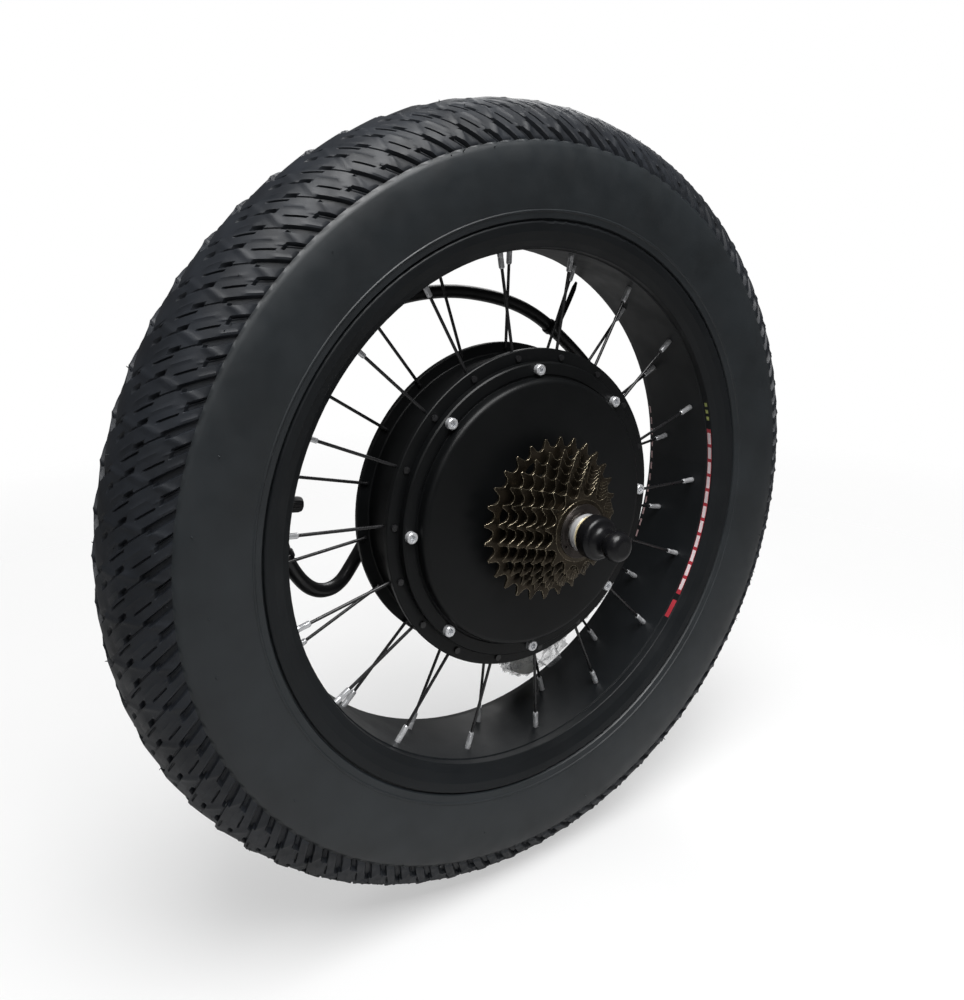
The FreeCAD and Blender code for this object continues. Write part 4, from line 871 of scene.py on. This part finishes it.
# ---- wheel details ----
def make_nipples():
    """Nipples with a four-sided wrench section, a collar and a round shank into the rim."""
    profile = (
        (0.0, 1.25), (0.0, 1.55), (0.5, 1.85), (1.0, 1.9), (7.6, 1.9),
        (8.0, 2.0), (8.4, 2.15), (12.9, 2.2), (15.2, 2.2),
    )

    def squared(index, angle):
        if not 3 <= index <= 4:
            return 1.0
        return min(1.12, 0.9 / max(abs(math.cos(angle)), abs(math.sin(angle))))

    points, faces = [], []
    for side, elbow_y, first in SPOKE_SIDES:
        for number in range(SPOKES_PER_SIDE):
            degrees = first + 360.0 * number / SPOKES_PER_SIDE
            elbow = polar(SPOKE_CIRCLE_R, degrees, elbow_y)
            seat = polar(RIM_BED_R, degrees, side * NIPPLE_Y)
            direction = (seat - elbow).normalized()
            lathe(points, faces, seat - direction * 13.0, direction, profile, 24, squared)
    nipples = dress(add_mesh("spoke_nipples_square", points, faces, 30.0, True), "bright_steel")
    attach(nipples, "wheel")
    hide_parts("spoke_nipples")


def make_valve_cap():
    """Moulded dust cap with grip ribs."""
    inwards = -polar(1.0, VALVE_ANGLE, 0.0)
    start = polar(VALVE_TIP_R + 10.0, VALVE_ANGLE, 0.0)
    profile = [(0.0, 4.0), (0.0, 5.0), (0.5, 5.4), (7.4, 5.3)]
    profile += [(8.0, 5.1), (9.2, 4.7), (9.9, 3.6), (10.0, 2.0)]

    def ribs(index, angle):
        return 1.0 - (0.06 * (0.5 + 0.5 * math.cos(20 * angle)) if 2 <= index <= 4 else 0.0)

    points, faces = [], []
    lathe(points, faces, start, inwards, profile, 120, ribs)
    cap = dress(add_mesh("valve_cap_ribbed", points, faces, 40.0, True), "black_plastic")
    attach(cap, "wheel")
    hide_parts("valve_cap")


SHELF_Y = (31.9, 35.9)
SHELF_MIDDLE_Y = sum(SHELF_Y) / 2
SHELF_R = 191.1
SHELF_SLOPE = 0.085


def add_plate(points, faces, start, end, low_y, high_y, rise):
    """A thin curved plate on the rim's inward shelf, between two angles."""
    base = len(points)
    steps = max(2, int(abs(end - start) / 1.5))
    for step in range(steps + 1):
        degrees = start + (end - start) * step / steps
        for radius, y in ((rise, low_y), (rise, high_y), (-0.25, high_y), (-0.25, low_y)):
            rim_slope = (abs(y) - SHELF_MIDDLE_Y) * SHELF_SLOPE
            points.append(polar(SHELF_R + rim_slope - radius, degrees, y))
    for step in range(steps):
        for corner in range(4):
            a, b = base + step * 4 + corner, base + step * 4 + (corner + 1) % 4
            faces.append((a, b, b + 4, a + 4))
    last = base + steps * 4
    faces.append((base + 3, base + 2, base + 1, base))
    faces.append((last, last + 1, last + 2, last + 3))


def make_decal(name, colour, plates, rise):
    """One colour's plates, each from (start, end) in degrees round the rim and (low, high) across it."""
    points, faces = [], []
    for start, end, low_y, high_y in plates:
        add_plate(points, faces, start, end, low_y, high_y, rise)
    finish = surface(name + "_print", colour, 0.35, vary=0.12, patch=12.0, coat=0.3)
    decal = dress(add_mesh(name, points, faces, tidy=True), "rim_black", finish)
    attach(decal, "wheel")


def make_decals():
    """Plain bars, with no lettering: a red band with pale blocks on the drive side, dashes on the other."""
    near, far = SHELF_Y
    band = [(-34.1, 10.2, -far, -near), (-40.6, -35.8, -far, -near)]
    make_decal("decal_red_band", (0.42, 0.035, 0.05), band, 0.10)
    bars = [(-32.9 + 3.9 * i, -29.9 + 3.9 * i, -far + 0.45, -near - 0.45) for i in range(11)]
    make_decal("decal_pale_blocks", (0.8, 0.68, 0.7), bars, 0.18)
    marks = [(12.6 + 1.9 * i, 13.6 + 1.9 * i, -far + 0.6, -near - 1.0) for i in range(3)]
    make_decal("decal_lime_marks", (0.45, 0.5, 0.14), marks, 0.10)
    dashes = [(-24.5 + 3.2 * i, -22.6 + 3.2 * i, near + 1.3, far - 0.9) for i in range(12)]
    make_decal("decal_far_dashes", (0.62, 0.42, 0.42), dashes, 0.10)


make_nipples()
make_valve_cap()
make_decals()
dress_cad_nodes()


# ---- floor, light and background ----
FLOOR_R = 1.9
FLOOR_GLOW = 0.5
FLOOR_FADE_FROM = 0.3
FLOOR_FADE_TO = 1.425
STUDIO_FILL = 0.09


def make_floor():
    """Pale round floor, a little self-lit, that fades into the background."""
    points, faces = [(0, 0, 0)], []
    for step in range(96):
        angle = 2 * math.pi * step / 96
        points.append((FLOOR_R / MM * math.cos(angle), FLOOR_R / MM * math.sin(angle), 0))
        faces.append((0, step + 1, (step + 1) % 96 + 1))
    floor = add_mesh("floor", points, faces)
    floor.location.z = cad_low.z
    material = bpy.data.materials.new("floor")
    material.use_nodes = True
    tree = material.node_tree
    shader = tree.nodes["Principled BSDF"]
    darker, lighter = (0.44,) * 3 + (1,), (0.46,) * 3 + (1,)
    shade = blend_colours(tree, spread(tree, noise_at(tree, 300.0), 0.0, 1.0), darker, lighter)
    tree.links.new(shade, shader.inputs["Base Color"])
    shader.inputs["Roughness"].default_value = 0.9
    shader.inputs["Specular IOR Level"].default_value = 0.1
    place = node(tree, "ShaderNodeTexCoord").outputs["Object"]
    reach = node(tree, "ShaderNodeVectorMath", operation="LENGTH")
    tree.links.new(place, reach.inputs[0])
    seen = node(tree, "ShaderNodeLightPath").outputs["Is Camera Ray"]
    shader.inputs["Emission Color"].default_value = (1.0, 1.0, 1.0, 1.0)
    tree.links.new(spread(tree, seen, 0.0, FLOOR_GLOW, 0.0, 1.0), shader.inputs["Emission Strength"])
    fade = spread(tree, reach.outputs["Value"], 1.0, 0.0, FLOOR_FADE_FROM, FLOOR_FADE_TO)
    tree.links.new(fade, shader.inputs["Alpha"])
    floor.data.materials.append(material)


def add_light(name, place, size, power, target=(0.0, 0.0, 0.0)):
    light = bpy.data.objects.new(name, bpy.data.lights.new(name, "AREA"))
    light.data.size = size
    light.data.energy = power
    light.location = place
    light.rotation_euler = (Vector(target) - Vector(place)).to_track_quat("-Z", "Y").to_euler()
    scene.collection.objects.link(light)


def make_studio():
    """A white background that lights the object only a little, and three soft lights."""
    world = bpy.data.worlds.new("studio")
    scene.world = world
    world.use_nodes = True
    tree = world.node_tree
    background = tree.nodes["Background"]
    seen = node(tree, "ShaderNodeLightPath").outputs["Is Camera Ray"]
    tree.links.new(spread(tree, seen, STUDIO_FILL, 1.0, 0.0, 1.0), background.inputs["Strength"])
    background.inputs["Color"].default_value = (1.0, 1.0, 1.0, 1.0)
    scene.view_settings.view_transform = "Standard"
    add_light("top_light", (-0.25, -0.8, 1.9), 1.5, 66.0)
    add_light("front_light", (-1.3, -1.9, 0.9), 1.2, 1.8)
    add_light("back_light", (1.3, 1.3, 1.3), 1.0, 12.0)


make_floor()
make_studio()
